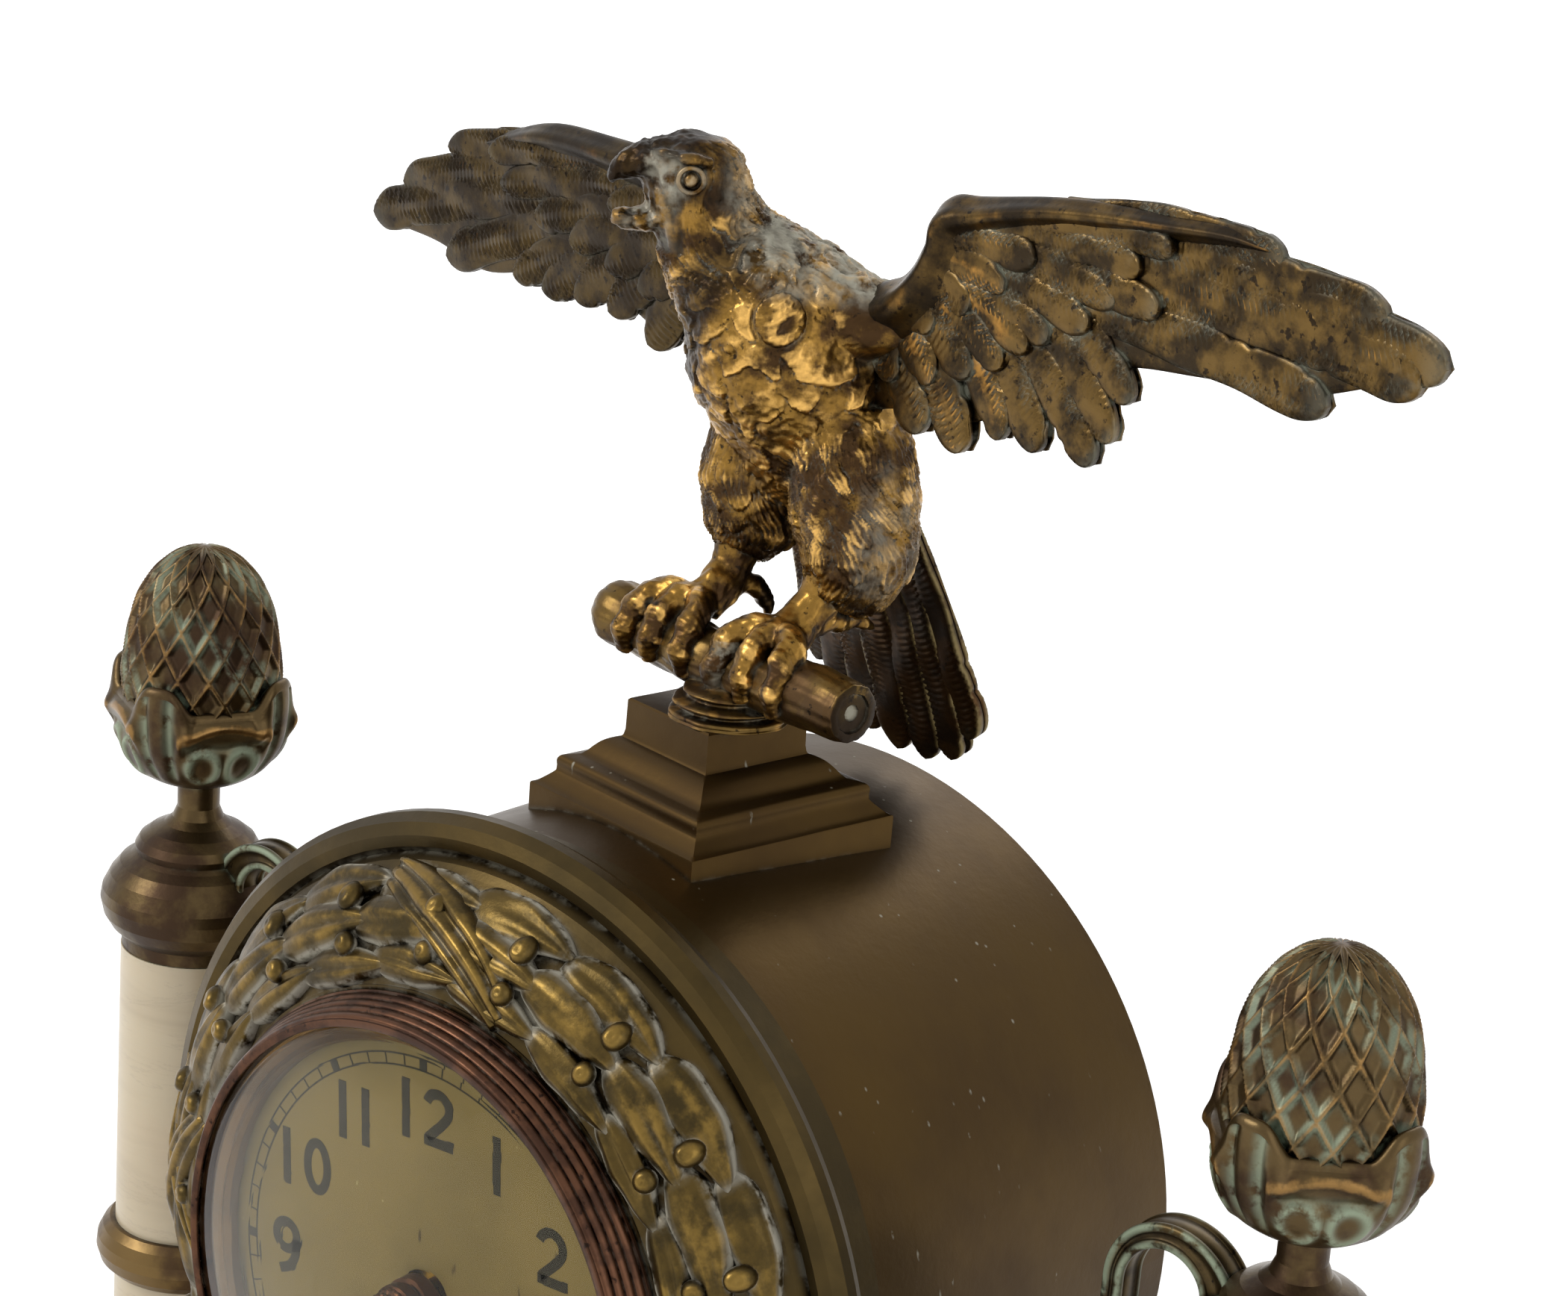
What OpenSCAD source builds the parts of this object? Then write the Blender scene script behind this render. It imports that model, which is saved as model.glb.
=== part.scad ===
// Portico clock: a drum clock held between two stone columns, with an eagle on its crown.
// X is to the viewer's right, Y to the back and Z up. The feet stand on Z = 0. Sizes are in millimetres.
// The drum and the movement are drawn with at_axis(): there X is right, Y is up and Z is forward.

/* [Base] */
// Width of the lower stone slab
base_w = 282; // [250:1:330]
// Depth of the lower stone slab
base_d = 136; // [136:1:160]
// Height of the lower stone slab
lower_h = 18; // [12:0.5:30]
// Height of the bronze band between the slabs
band_h = 5; // [3:0.5:10]
// Height of the upper stone slab
upper_h = 18; // [12:0.5:30]
// How far the upper slab stands back from the lower one
slab_step = 7; // [3:0.5:15]
// Height of a bun foot
foot_h = 9; // [6:0.5:16]
// Radius of a bun foot
foot_r = 12; // [8:0.5:16]

/* [Columns] */
// Distance of a column's axis from the middle of the clock
column_x = 115.3; // [105:0.1:125]
// Radius of the stone shafts
shaft_r = 13; // [10:0.1:15]
// Height of the bronze column base
plinth_h = 12; // [8:0.5:18]
// Height of the bronze collar between the shafts
collar_h = 9.5; // [6:0.5:14]
// How far the collar stands out from the shaft
collar_out = 3.3; // [2:0.1:5]
// Depth of the collar's lower edge under the dial's axis
collar_drop = 56.5; // [40:0.5:70]
// Height of the cap's lower edge over the dial's axis
cap_rise = 6.5; // [0:0.5:12]
// How far the cap's bell stands out from the shaft
cap_out = 3.7; // [2:0.1:5]
// Height of the bronze cap without its stem
cap_h = 24; // [20:0.5:30]
// Radius of the stem under the finial
stem_r = 3.7; // [3:0.1:5]
// Height of the stem under the finial
stem_h = 6.5; // [4:0.5:9]
// Height of the pine cone finial
finial_h = 43; // [36:0.5:52]
// Radius of the finial's leaf cup
calyx_r = 16.1; // [13:0.1:18]
// Radius of the cone above the cup
cone_r = 13.7; // [10:0.1:15]
// Radius of the steel rod that draws each column together
rod_r = 2.5; // [2:0.1:3]

/* [Brackets] */
// Outer radius of the scroll's arch
arch_r = 11.6; // [10:0.1:13]
// Distance from the column's axis to the outside of the arch
cap_reach = 7.8; // [7:0.1:9]
// Drop from the arch's centre to the screwed pad on the drum
leg_drop = 25; // [20:0.5:30]
// Thickness of the scroll strap
strap_t = 3.4; // [2.5:0.1:4.5]
// Width of the scroll strap, front to back
strap_w = 6; // [5:0.5:10]

/* [Drum] */
// Height of the dial's axis above the table
axis_h = 200; // [190:1:220]
// Outer radius of the drum case
drum_r = 66.3; // [64.5:0.1:70]
// Wall of the drum case
drum_wall = 2; // [1.2:0.1:3]
// How far the drum reaches in front of the columns
drum_front = 29.2; // [26:0.2:33]
// How far the drum reaches behind the columns
drum_back = 42.4; // [38:0.2:50]
// How far the wreath ring's rim stands out from the drum
rim_out = 5.4; // [3:0.1:8]
// Distance of the dial's face in front of the columns
dial_face = 55; // [52:0.5:60]

/* [Dial and glass] */
// Radius of the dial plate
dial_r = 43; // [42:0.1:44]
// Thickness of the dial plate
dial_t = 1; // [0.6:0.1:1.5]
// Radius of the hole in the middle of the dial
dial_hole_r = 5; // [4.6:0.1:6]
// Outer radius of the copper bezel
bezel_r = 48; // [47:0.1:49]
// Height of the copper bezel over its seat
bezel_h = 6.6; // [5:0.1:9]
// Radius of the glass
glass_r = 44.8; // [43:0.1:45.5]
// Thickness of the glass
glass_t = 1.6; // [1:0.1:2.5]
// How far the glass domes forward
glass_dome = 6; // [6:0.1:8]
// How far the door's hinge lies outside the bezel
hinge_out = 2.6; // [2.2:0.1:4]

/* [Movement] */
// Radius of the back plate
plate_r = 41; // [40:0.1:43]
// Thickness of the plates
plate_t = 1.8; // [1.2:0.1:2.5]
// Clear distance between the plates
plate_gap = 31.8; // [31:0.1:36]
// Teeth of the great wheel on the barrel
great_teeth = 80; // [72:2:84]
// Leaves of the centre pinion
centre_leaves = 10; // [8:1:12]
// Teeth of the centre wheel
centre_teeth = 84; // [72:2:90]
// Leaves of the third pinion
third_leaves = 7; // [6:1:8]
// Teeth of the third wheel
third_teeth = 78; // [70:2:84]
// Leaves of the escape pinion
escape_leaves = 7; // [6:1:8]
// Teeth of the escape wheel
escape_teeth = 36; // [30:1:40]
// Radius of the escape wheel
escape_r = 8.5; // [7:0.1:9]
// Length of a barrel without its wheel
barrel_len = 18; // [12:0.5:18]
// Wall of the barrel
barrel_wall = 1.2; // [0.8:0.1:2]
// Length of the minute hand
minute_len = 34; // [28:0.5:36]
// Length of the hour hand
hour_len = 24; // [18:0.5:28]

/* [Pendulum] */
// Distance from the suspension to the middle of the bob
pendulum_len = 139; // [130:0.5:145]
// Radius of the pendulum bob
bob_r = 22; // [16:0.5:24]
// Thickness of the pendulum bob
bob_t = 9; // [6:0.5:12]
// Radius of the pendulum rod
pend_rod_r = 1.2; // [0.9:0.1:1.6]

/* [Pedestal and eagle] */
// Side of the pedestal's square foot
pedestal_w = 40; // [36:0.5:44]
// Height of the pedestal's top over the dial's axis
pedestal_top = 82.3; // [80:0.1:90]
// Side of the pedestal's upper block
block_w = 20; // [16:0.5:24]
// How far the pedestal has turned on its stud
pedestal_turn = 9.2; // [0:0.1:15]
// Radius of the branch that the eagle stands on
branch_r = 5.1; // [4:0.1:5.6]
// Length of the branch
branch_len = 60; // [50:0.5:66]
// Span of the eagle's wings
wing_span = 239; // [220:1:250]
// Thickness of a wing
wing_t = 4.5; // [3:0.1:6]

/* [Fasteners] */
// Thread radius of the case screws
screw_r = 1.5; // [1.2:0.1:2]
// Head radius of the case screws
screw_head_r = 2.75; // [2.4:0.05:3.5]
// Head height of the case screws
screw_head_h = 1.8; // [1.2:0.1:2.5]
// Width of a hexagon nut across its flats
nut_w = 8; // [7:0.5:10]
// Height of a hexagon nut
nut_h = 4; // [3:0.5:5]

/* [Hidden] */

fine = 96;
mid = 48;
small = 24;
// Clearances: a running fit on a shaft, and the gap kept between pieces that pass each other
run = 0.05;
gap = 0.3;

// Heights up the clock
lower_z = foot_h;
band_z = lower_z + lower_h;
upper_z = band_z + band_h;
deck_z = upper_z + upper_h;
shaft1_z = deck_z + plinth_h;
collar_z = axis_h - collar_drop;
shaft2_z = collar_z + collar_h;
cap_z = axis_h + cap_rise;
stem_z = cap_z + cap_h;
finial_z = stem_z + stem_h;
rod_end_z = cap_z + cap_h * 0.7;
nut_pocket = nut_h + 2;
nut_pocket_r = nut_w * 0.75;

// Scroll brackets
arch_x = column_x - cap_reach - arch_r;
arch_z = cap_z + cap_h * 0.53;
pad_z = arch_z - leg_drop;
mid_r = arch_r - strap_t / 2;

// Depths along the dial's axis, forward of the columns
ring_back = drum_front;
rim_f = dial_face - 13.9;
crease_f = dial_face - 12.5;
wreath_f0 = dial_face - 9.6;
seat_f = dial_face + 0.1;
door_f = seat_f + gap;
dial_back = dial_face - dial_t;
plate_front = dial_face - 6;
front_in = plate_front - plate_t;
back_in = front_in - plate_gap;
back_out = back_in - plate_t;
rim_r = drum_r + rim_out;
inner_r = drum_r - drum_wall;
seat_r = bezel_r + 0.6;
flange_r = plate_r - 0.1;
plate_hold_r = flange_r + 3.8;
spigot = 6;
spigot_r = inner_r - 0.1;
hinge_x = bezel_r + hinge_out;
hinge_f = door_f + 1.1;
knuckle_r = 1.5;
hinge_pin_r = 0.7;
knuckle_len = 4;

bezel_f = door_f + bezel_h;
glass_f = bezel_f - glass_t - 0.5;

// Rear of the drum
rear_lip = 0.9;
rear_t = 3.6;
rear_f = rear_t - drum_back;
rear_open_r = inner_r - 12;
door_r = rear_open_r + 1.5;
rear_hinge_x = -(door_r + 3.4);
rear_hinge_f = rear_f - rear_t - 1.6;
rear_door_t = 1.4;
latch_x = door_r + 5;
latch_pin_r = 1.2;
case_rod_r = 2;
case_rod_x = inner_r - 6.6;
case_rod_y = -18;

// Wheels: each module is in millimetres per tooth
great_m = 0.45;
centre_m = 0.36;
third_m = 0.33;
motion_m = 0.4;
barrel_d = great_m * (great_teeth + centre_leaves) / 2;
barrel_a = -45;
barrel_x = barrel_d * cos(barrel_a);
barrel_y = barrel_d * sin(barrel_a);
barrel_r = great_m * great_teeth / 2 - 1.5;
third_d = centre_m * (centre_teeth + third_leaves) / 2;
third_a = 140;
third_x = third_d * cos(third_a);
third_y = third_d * sin(third_a);
escape_d = third_m * (third_teeth + escape_leaves) / 2;
escape_y = third_y + sqrt(escape_d * escape_d - third_x * third_x);
escape_a = atan2(escape_y - third_y, -third_x);
anchor_y = escape_y + escape_r + 3;
cannon_leaves = 14;
minute_teeth = 3 * cannon_leaves;
minute_leaves = 10;
hour_teeth = 4 * minute_leaves;
minute_d = motion_m * (cannon_leaves + minute_teeth) / 2;
hour_m = 2 * minute_d / (minute_leaves + hour_teeth);
minute_a = 150;
minute_x = minute_d * cos(minute_a);
minute_y = minute_d * sin(minute_a);
pivot_r = 0.6;
arbor_r = 0.9;
centre_r = 1;
cannon_r = 1.7;
hour_pipe_r = 2.9;
wind_r = 2;
post_r = 0.8;
great_f0 = front_in - 3.2;
great_f1 = front_in - 1.2;
centre_f0 = back_in + 5.6;
third_f0 = back_in + 18.6;
escape_f0 = back_in + 11.6;
pillar_angles = [10, 72, 180, 260];
pillar_at = plate_r - 5;
ratchet_teeth = 24;
ratchet_r = 4.6;
click_x = barrel_x + 8.6;
click_y = barrel_y + 3.2;
click_f = plate_front + 0.5;

// Hands: both hang near six o'clock at rest, 28 minutes past six
hour_turn = 194;
minute_turn = 168;
hour_f = dial_face + 1.8;
hour_end = hour_f + 1.8;
minute_f = hour_f + 2.8;
minute_end = minute_f + 1.6;
hand_t = 0.8;
boss_r = 4.6;

// Pendulum
susp_y = anchor_y + 2.2;
pend_f = back_out - 5.8;
bob_y = susp_y - pendulum_len;
slot_w = 22;
slot_d = 12;
fork_y = susp_y - 24;
pin_rise = 3.2;
susp_pin_r = 0.5;

// Pedestal on the crown of the drum
stud_x = 1;
stud_y = 1.3;
stud_r = rod_r;
branch_z = pedestal_top + 2 + branch_r;
eagle_z = pedestal_top + 6;
half = wing_span / 2;

// Places its children in the frame of the dial's axis.
module at_axis() {
    translate([0, 0, axis_h]) rotate([90, 0, 0]) children();
}

// Places its children in the pedestal's turned frame, with Z still counted from the dial's axis.
module at_stud() {
    translate([stud_x, stud_y, axis_h]) rotate([0, 0, -pedestal_turn]) children();
}

// Places its children on the left column (side = -1) or the right one (side = 1).
module at_column(side) {
    translate([side * column_x, 0, 0]) children();
}

// A round plate or rod from z0 to z1.
module rod(r, z0, z1, fn = mid) {
    translate([0, 0, z0]) cylinder(r = r, h = z1 - z0, $fn = fn);
}

// Outline of a wheel with slender teeth that keep backlash; one tooth points along turn.
module wheel_outline(teeth, m, turn) {
    pitch = 360 / teeth;
    r0 = m * (teeth / 2 - 1.05);
    r1 = m * teeth / 2;
    r2 = m * (teeth / 2 + 0.62);
    polygon([for (k = [0 : teeth - 1], s = [[r0, -0.23], [r1, -0.17], [r2, -0.07],
        [r2, 0.07], [r1, 0.17], [r0, 0.23]])
        [s[0] * cos(turn + (k + s[1]) * pitch), s[0] * sin(turn + (k + s[1]) * pitch)]]);
}

// A wheel with four crossings out of a ring, on a solid hub.
module wheel(teeth, m, turn, z0, z1, hub_r) {
    rim = m * (teeth / 2 - 1.05) - 1.6;
    difference() {
        translate([0, 0, z0]) linear_extrude(height = z1 - z0) wheel_outline(teeth, m, turn);
        for (k = [0 : 3])
            rotate([0, 0, 45 + 90 * k]) translate([(rim + hub_r) / 2 + 0.3, 0, z0 - 1])
                cylinder(r = (rim - hub_r) / 2 - 0.3, h = z1 - z0 + 2, $fn = small);
    }
}

// A pinion of solid leaves.
module pinion(leaves, m, turn, z0, z1) {
    translate([0, 0, z0]) linear_extrude(height = z1 - z0) wheel_outline(leaves, m, turn);
}

// Surface through rings of points: each row is [x, y, z, half width, half depth, tilt forward].
function ring_points(row, n) = [for (k = [0 : n - 1])
    let (a = 360 * k / n, u = row[3] * cos(a), v = row[4] * sin(a))
    [row[0] + u, row[1] + v * cos(row[5]), row[2] + v * sin(row[5])]];

module loft(rows, n = 16) {
    count = len(rows);
    points = [for (row = rows) each ring_points(row, n)];
    sides = [for (i = [0 : count - 2], k = [0 : n - 1])
        [i * n + k, (i + 1) * n + k, (i + 1) * n + (k + 1) % n, i * n + (k + 1) % n]];
    bottom = [[for (k = [0 : n - 1]) k]];
    top = [[for (k = [0 : n - 1]) count * n - 1 - k]];
    polyhedron(points = points, faces = concat(sides, bottom, top));
}

// Base

module slab(w, d, h, notch) {
    difference() {
        translate([-w / 2, -d / 2, 0]) cube([w, d, h]);
        for (x = [-1, 1], y = [-1, 1])
            translate([x * w / 2, y * d / 2, -1]) cylinder(r = notch, h = h + 2, $fn = mid);
    }
}

module rod_holes(z0, z1) {
    for (s = [-1, 1]) at_column(s) rod(rod_r, z0, z1);
}

module base_lower() {
    difference() {
        translate([0, 0, lower_z]) slab(base_w, base_d, lower_h, 5);
        rod_holes(lower_z - 1, band_z + 1);
        for (s = [-1, 1]) at_column(s) rod(nut_pocket_r, lower_z - 1, lower_z + nut_pocket);
    }
}

module base_band() {
    difference() {
        translate([0, 0, band_z]) slab(base_w - slab_step, base_d - slab_step, band_h, 4);
        rod_holes(band_z - 1, upper_z + 1);
    }
}

module base_upper() {
    difference() {
        translate([0, 0, upper_z]) slab(base_w - 2 * slab_step, base_d - 2 * slab_step, upper_h, 5);
        rod_holes(upper_z - 1, deck_z + 1);
    }
}

module feet() {
    for (x = [-1, 1], y = [-1, 1])
        translate([x * (base_w / 2 - foot_r - 8), y * (base_d / 2 - foot_r - 8), 0])
            rotate_extrude($fn = mid) polygon([[0, 0], [foot_r * 0.7, 0], [foot_r * 0.92, foot_h * 0.2],
                [foot_r, foot_h * 0.45], [foot_r * 0.92, foot_h * 0.7], [foot_r * 0.74, foot_h * 0.86],
                [foot_r * 0.74, foot_h], [0, foot_h]]);
}

module tie_rods() {
    rod_holes(lower_z + 1, rod_end_z);
}

module nut(z) {
    difference() {
        translate([0, 0, z]) cylinder(r = nut_w / 2 / cos(30), h = nut_h, $fn = 6);
        rod(rod_r, z - 1, z + nut_h + 1, small);
    }
}

module nuts() {
    for (s = [-1, 1]) at_column(s) nut(lower_z + nut_pocket - nut_h);
    translate([stud_x, stud_y, 0]) nut(axis_h + inner_top() - nut_h);
}

// Height over the dial's axis where the stud's nut meets the inside of the drum.
function inner_top() = sqrt(inner_r * inner_r - pow(nut_w / 2 / cos(30) + stud_x, 2)) - 0.02;

// Columns

module turned(points) {
    rotate_extrude($fn = fine) polygon(points);
}

module column_base(side) {
    at_column(side) difference() {
        turned([[0, deck_z], [shaft_r + 5.5, deck_z], [shaft_r + 5.5, deck_z + plinth_h * 0.3],
            [shaft_r + 4.6, deck_z + plinth_h * 0.42], [shaft_r + 3, deck_z + plinth_h * 0.5],
            [shaft_r + 2.2, deck_z + plinth_h * 0.64], [shaft_r + 2.4, deck_z + plinth_h * 0.78],
            [shaft_r + 1.6, deck_z + plinth_h * 0.92], [shaft_r + 0.6, shaft1_z], [0, shaft1_z]]);
        rod(rod_r, deck_z - 1, shaft1_z + 1);
    }
}

module shaft(side, z0, z1) {
    at_column(side) difference() {
        rod(shaft_r, z0, z1, fine);
        rod(rod_r, z0 - 1, z1 + 1);
    }
}

module collar(side) {
    o = collar_out;
    z = collar_z;
    at_column(side) difference() {
        turned([[0, z], [shaft_r + 0.3, z], [shaft_r + o * 0.35, z + collar_h * 0.06],
            [shaft_r + o * 0.8, z + collar_h * 0.22], [shaft_r + o, z + collar_h * 0.45],
            [shaft_r + o * 0.94, z + collar_h * 0.66], [shaft_r + o * 0.66, z + collar_h * 0.86],
            [shaft_r + o * 0.3, shaft2_z], [0, shaft2_z]]);
        rod(rod_r, z - 1, shaft2_z + 1);
    }
}

// Bell of the cap, its small dome and the stem; also the cutter that shapes the bracket's end.
module cap_form() {
    b = shaft_r + cap_out;
    d = shaft_r * 0.82;
    turned([[0, cap_z], [shaft_r - 0.2, cap_z], [shaft_r, cap_z + cap_h * 0.1], [b - 1.9, cap_z + cap_h * 0.17],
        [b - 0.6, cap_z + cap_h * 0.26], [b, cap_z + cap_h * 0.37], [b - 0.3, cap_z + cap_h * 0.45],
        [b - 1.6, cap_z + cap_h * 0.56], [b - 3.3, cap_z + cap_h * 0.65], [d + 0.9, cap_z + cap_h * 0.7],
        [d, cap_z + cap_h * 0.73], [d + 0.2, cap_z + cap_h * 0.78], [d - 0.6, cap_z + cap_h * 0.84],
        [d - 2.4, cap_z + cap_h * 0.9], [d - 4.8, cap_z + cap_h * 0.95], [stem_r + 0.8, stem_z],
        [stem_r, stem_z + stem_h * 0.3], [stem_r, finial_z], [0, finial_z]]);
}

module cap(side) {
    at_column(side) difference() {
        cap_form();
        rod(rod_r, cap_z - 1, rod_end_z);
    }
}

module finial(side) {
    z = finial_z;
    h = finial_h;
    at_column(side)
        turned([[0, z], [stem_r + 0.8, z], [calyx_r * 0.48, z + h * 0.03], [calyx_r * 0.7, z + h * 0.08],
            [calyx_r * 0.87, z + h * 0.16], [calyx_r * 0.97, z + h * 0.26], [calyx_r, z + h * 0.37],
            [calyx_r * 0.97, z + h * 0.43], [cone_r + 0.3, z + h * 0.46], [cone_r, z + h * 0.56],
            [cone_r * 0.97, z + h * 0.68], [cone_r * 0.9, z + h * 0.78], [cone_r * 0.73, z + h * 0.88],
            [cone_r * 0.5, z + h * 0.95], [cone_r * 0.23, z + h * 0.988], [0, z + h]]);
}

// Scroll bracket: an arch from the cap's dome and a leg that curls in to the drum's side.

function bezier(a, b, c, d, t) = a * pow(1 - t, 3) + 3 * b * t * pow(1 - t, 2) + 3 * c * t * t * (1 - t)
    + d * pow(t, 3);
function unit(v) = v / norm(v);
function side_of(path, i) = let (n = len(path), v = path[min(i + 1, n - 1)] - path[max(i - 1, 0)])
    unit([-v[1], v[0]]);

// Middle line of the strap, from the cap over the arch and down to the pad on the drum
strap_line = concat([[arch_x + mid_r, arch_z - 3]],
    [for (k = [0 : 16]) [arch_x + mid_r * cos(180 * k / 16), arch_z + mid_r * sin(180 * k / 16)]],
    [for (k = [1 : 12]) bezier([arch_x - mid_r, arch_z], [arch_x - mid_r, arch_z - leg_drop * 0.85],
        [arch_x - mid_r - 3, pad_z], [drum_r - 2, pad_z], k / 12)]);

// Half thickness along the line: it swells to a screwed pad at the drum, and inwards to a root in the cap
function strap_half(k) = strap_t / 2 + (k > 22 ? pow((k - 22) / 7, 2) * 3.2 : 0);
function strap_root(k) = strap_half(k) + (k < 17 ? 4 * pow(1 - k / 17, 2) : 0);

module bracket_profile() {
    n = len(strap_line) - 1;
    polygon(concat([for (k = [0 : n]) strap_line[k] + side_of(strap_line, k) * strap_root(k)],
        [for (k = [n : -1 : 0]) strap_line[k] - side_of(strap_line, k) * strap_half(k)]));
}

module bracket(side) {
    mirror([side < 0 ? 1 : 0, 0, 0]) difference() {
        translate([0, strap_w / 2, 0]) rotate([90, 0, 0])
            linear_extrude(height = strap_w) bracket_profile();
        at_column(1) cap_form();
        at_axis() rod(drum_r, -strap_w, strap_w, fine);
        translate([0, 0, pad_z]) rotate([0, 90, 0]) rod(screw_r, drum_r - 8, drum_r + 4, small);
    }
}

// Drum

module drum_case() {
    difference() {
        at_axis() rod(drum_r, rear_lip - drum_back, drum_front, 128);
        at_axis() rod(inner_r, -drum_back - 1, drum_front + 1, 128);
        translate([-slot_w / 2, -pend_f - slot_d / 2, axis_h - drum_r - 1])
            cube([slot_w, slot_d, drum_wall + 12]);
        translate([stud_x, stud_y, axis_h]) rod(stud_r, 0, drum_r + 1);
        translate([0, 0, pad_z]) rotate([0, 90, 0]) rod(screw_r, -drum_r - 1, drum_r + 1, small);
    }
}

module front_ring() {
    at_axis() difference() {
        rotate_extrude($fn = 128) polygon([[spigot_r, ring_back - spigot], [spigot_r, ring_back],
            [drum_r + 0.5, ring_back], [drum_r + 0.5, ring_back + 4.3], [drum_r + 1.6, ring_back + 6.6],
            [rim_r - 0.8, rim_f - 3.4], [rim_r, rim_f - 1.8], [rim_r, rim_f], [rim_r - 1.2, rim_f + 1.9],
            [rim_r - 3.1, rim_f + 2.7], [rim_r - 4.9, rim_f + 2.3], [rim_r - 5.7, crease_f],
            [rim_r - 6.6, crease_f + 1.9], [rim_r - 7.7, wreath_f0], [seat_r + 10.4, wreath_f0 + 4.9],
            [seat_r + 2.4, seat_f - 0.9], [seat_r, seat_f - 0.2], [seat_r, seat_f], [dial_r + 0.2, seat_f],
            [dial_r + 0.2, dial_back], [flange_r, dial_back], [flange_r, plate_front],
            [plate_hold_r + 2.4, plate_front], [seat_r + 6, plate_front - 2], [spigot_r - 2.5, ring_back + 8],
            [spigot_r - 2.5, ring_back - spigot]]);
        translate([hinge_x, 0, hinge_f]) rotate([90, 0, 0])
            rod(knuckle_r + gap, -1.5 * knuckle_len - gap, 1.5 * knuckle_len + gap, small);
        for (a = [60, 180, 300]) rotate([0, 0, a]) translate([flange_r + 1.6, 0, 0])
            rod(screw_r, plate_front - 1, plate_front + 3.2, small);
        for (s = [-1, 1]) translate([s * case_rod_x, case_rod_y, 0])
            rod(case_rod_r, ring_back - spigot - 1, ring_back + 6, small);
    }
    // Lugs that take the case rods
    at_axis() difference() {
        intersection() {
            for (s = [-1, 1]) translate([s * case_rod_x, case_rod_y, 0])
                rod(case_rod_r + 2, ring_back, ring_back + 8, small);
            rod(spigot_r, ring_back, ring_back + 8, 128);
        }
        for (s = [-1, 1]) translate([s * case_rod_x, case_rod_y, 0])
            rod(case_rod_r, ring_back - 1, ring_back + 6, small);
    }
    // Fixed knuckles of the glass door's hinge, on a leaf let into the ring
    at_axis() difference() {
        for (y = [-1.5, 0.5]) translate([0, (y + (y > 0 ? gap / knuckle_len : 0)) * knuckle_len, 0]) {
            translate([hinge_x, 0, hinge_f]) rotate([-90, 0, 0])
                rod(knuckle_r, 0, knuckle_len - gap, small);
            translate([hinge_x - knuckle_r * 0.2, 0, hinge_f - 4.2])
                cube([knuckle_r * 1.2, knuckle_len - gap, 4.2]);
        }
        translate([hinge_x, 0, hinge_f]) rotate([90, 0, 0])
            rod(hinge_pin_r, -2 * knuckle_len, 2 * knuckle_len, small);
    }
}

module bezel() {
    at_axis() difference() {
        union() {
            rotate_extrude($fn = 128) polygon([[glass_r - 1.4, door_f], [bezel_r, door_f], [bezel_r, door_f + 0.9],
                [bezel_r - 0.35, door_f + 1.5], [bezel_r - 0.75, door_f + 1.6], [bezel_r - 0.7, door_f + 2.3],
                [bezel_r - 1, door_f + 2.9], [bezel_r - 1.4, door_f + 3], [bezel_r - 1.35, door_f + 3.7],
                [bezel_r - 1.65, door_f + 4.3], [bezel_r - 2.05, door_f + 4.4], [bezel_r - 2, door_f + 5.1],
                [bezel_r - 2.35, bezel_f - 0.7], [bezel_r - 2.8, bezel_f], [glass_r - 0.9, bezel_f],
                [glass_r - 0.9, glass_f + glass_t], [glass_r, glass_f + glass_t], [glass_r, glass_f],
                [glass_r - 0.5, glass_f], [glass_r - 0.5, glass_f - 0.6], [glass_r - 1.4, glass_f - 1.6]]);
            translate([hinge_x, -knuckle_len / 2, hinge_f]) rotate([-90, 0, 0])
                rod(knuckle_r, gap / 2, knuckle_len - gap / 2, small);
            translate([hinge_x - hinge_out - 1, -knuckle_len / 2 + gap / 2, hinge_f - 0.7])
                cube([hinge_out + 1, knuckle_len - gap, 1.4]);
        }
        translate([hinge_x, 0, hinge_f]) rotate([90, 0, 0])
            rod(hinge_pin_r + run, -2 * knuckle_len, 2 * knuckle_len, small);
    }
}

module bezel_pin() {
    at_axis() translate([hinge_x, 0, hinge_f]) rotate([90, 0, 0])
        rod(hinge_pin_r, -1.5 * knuckle_len, 1.5 * knuckle_len, small);
}

// The glass is a shallow dome with a bevelled edge.
module glass() {
    r1 = glass_r - 2;
    big = (r1 * r1 + glass_dome * glass_dome) / (2 * glass_dome);
    steps = 10;
    top = [for (k = [0 : steps]) let (a = asin(r1 / big) * (1 - k / steps))
        [big * sin(a), glass_f + glass_t + big * (cos(a) - 1) + glass_dome]];
    under = [for (k = [0 : steps]) let (a = asin(r1 / big) * k / steps)
        [big * sin(a), glass_f + big * (cos(a) - 1) + glass_dome]];
    at_axis() rotate_extrude($fn = 128)
        polygon(concat([[glass_r, glass_f], [glass_r, glass_f + glass_t * 0.5]], top, under));
}

// Concave brass ring between the glass and the dial
module sight_ring() {
    r = glass_r - 1.4;
    at_axis() rotate_extrude($fn = 128) polygon([[r, door_f], [r, glass_f - 1.6], [r - 0.5, glass_f - 1.6],
        [r - 1.4, glass_f - 2.6], [dial_r - 1.9, dial_face + 2.9], [dial_r - 2.4, dial_face + 2],
        [dial_r - 2.4, door_f], [dial_r - 1.5, door_f]]);
}

module dial() {
    at_axis() difference() {
        union() {
            rod(dial_r, dial_back, dial_face, 128);
            for (a = [30, 150, 270]) rotate([0, 0, a]) translate([dial_r - 5, 0, 0])
                rod(1.2, front_in, dial_back + 0.1, small);
        }
        rod(dial_hole_r, dial_back - 1, dial_face + 1);
        translate([barrel_x, barrel_y, 0]) rod(wind_r + 1.2, dial_back - 1, dial_face + 1);
    }
}

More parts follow.
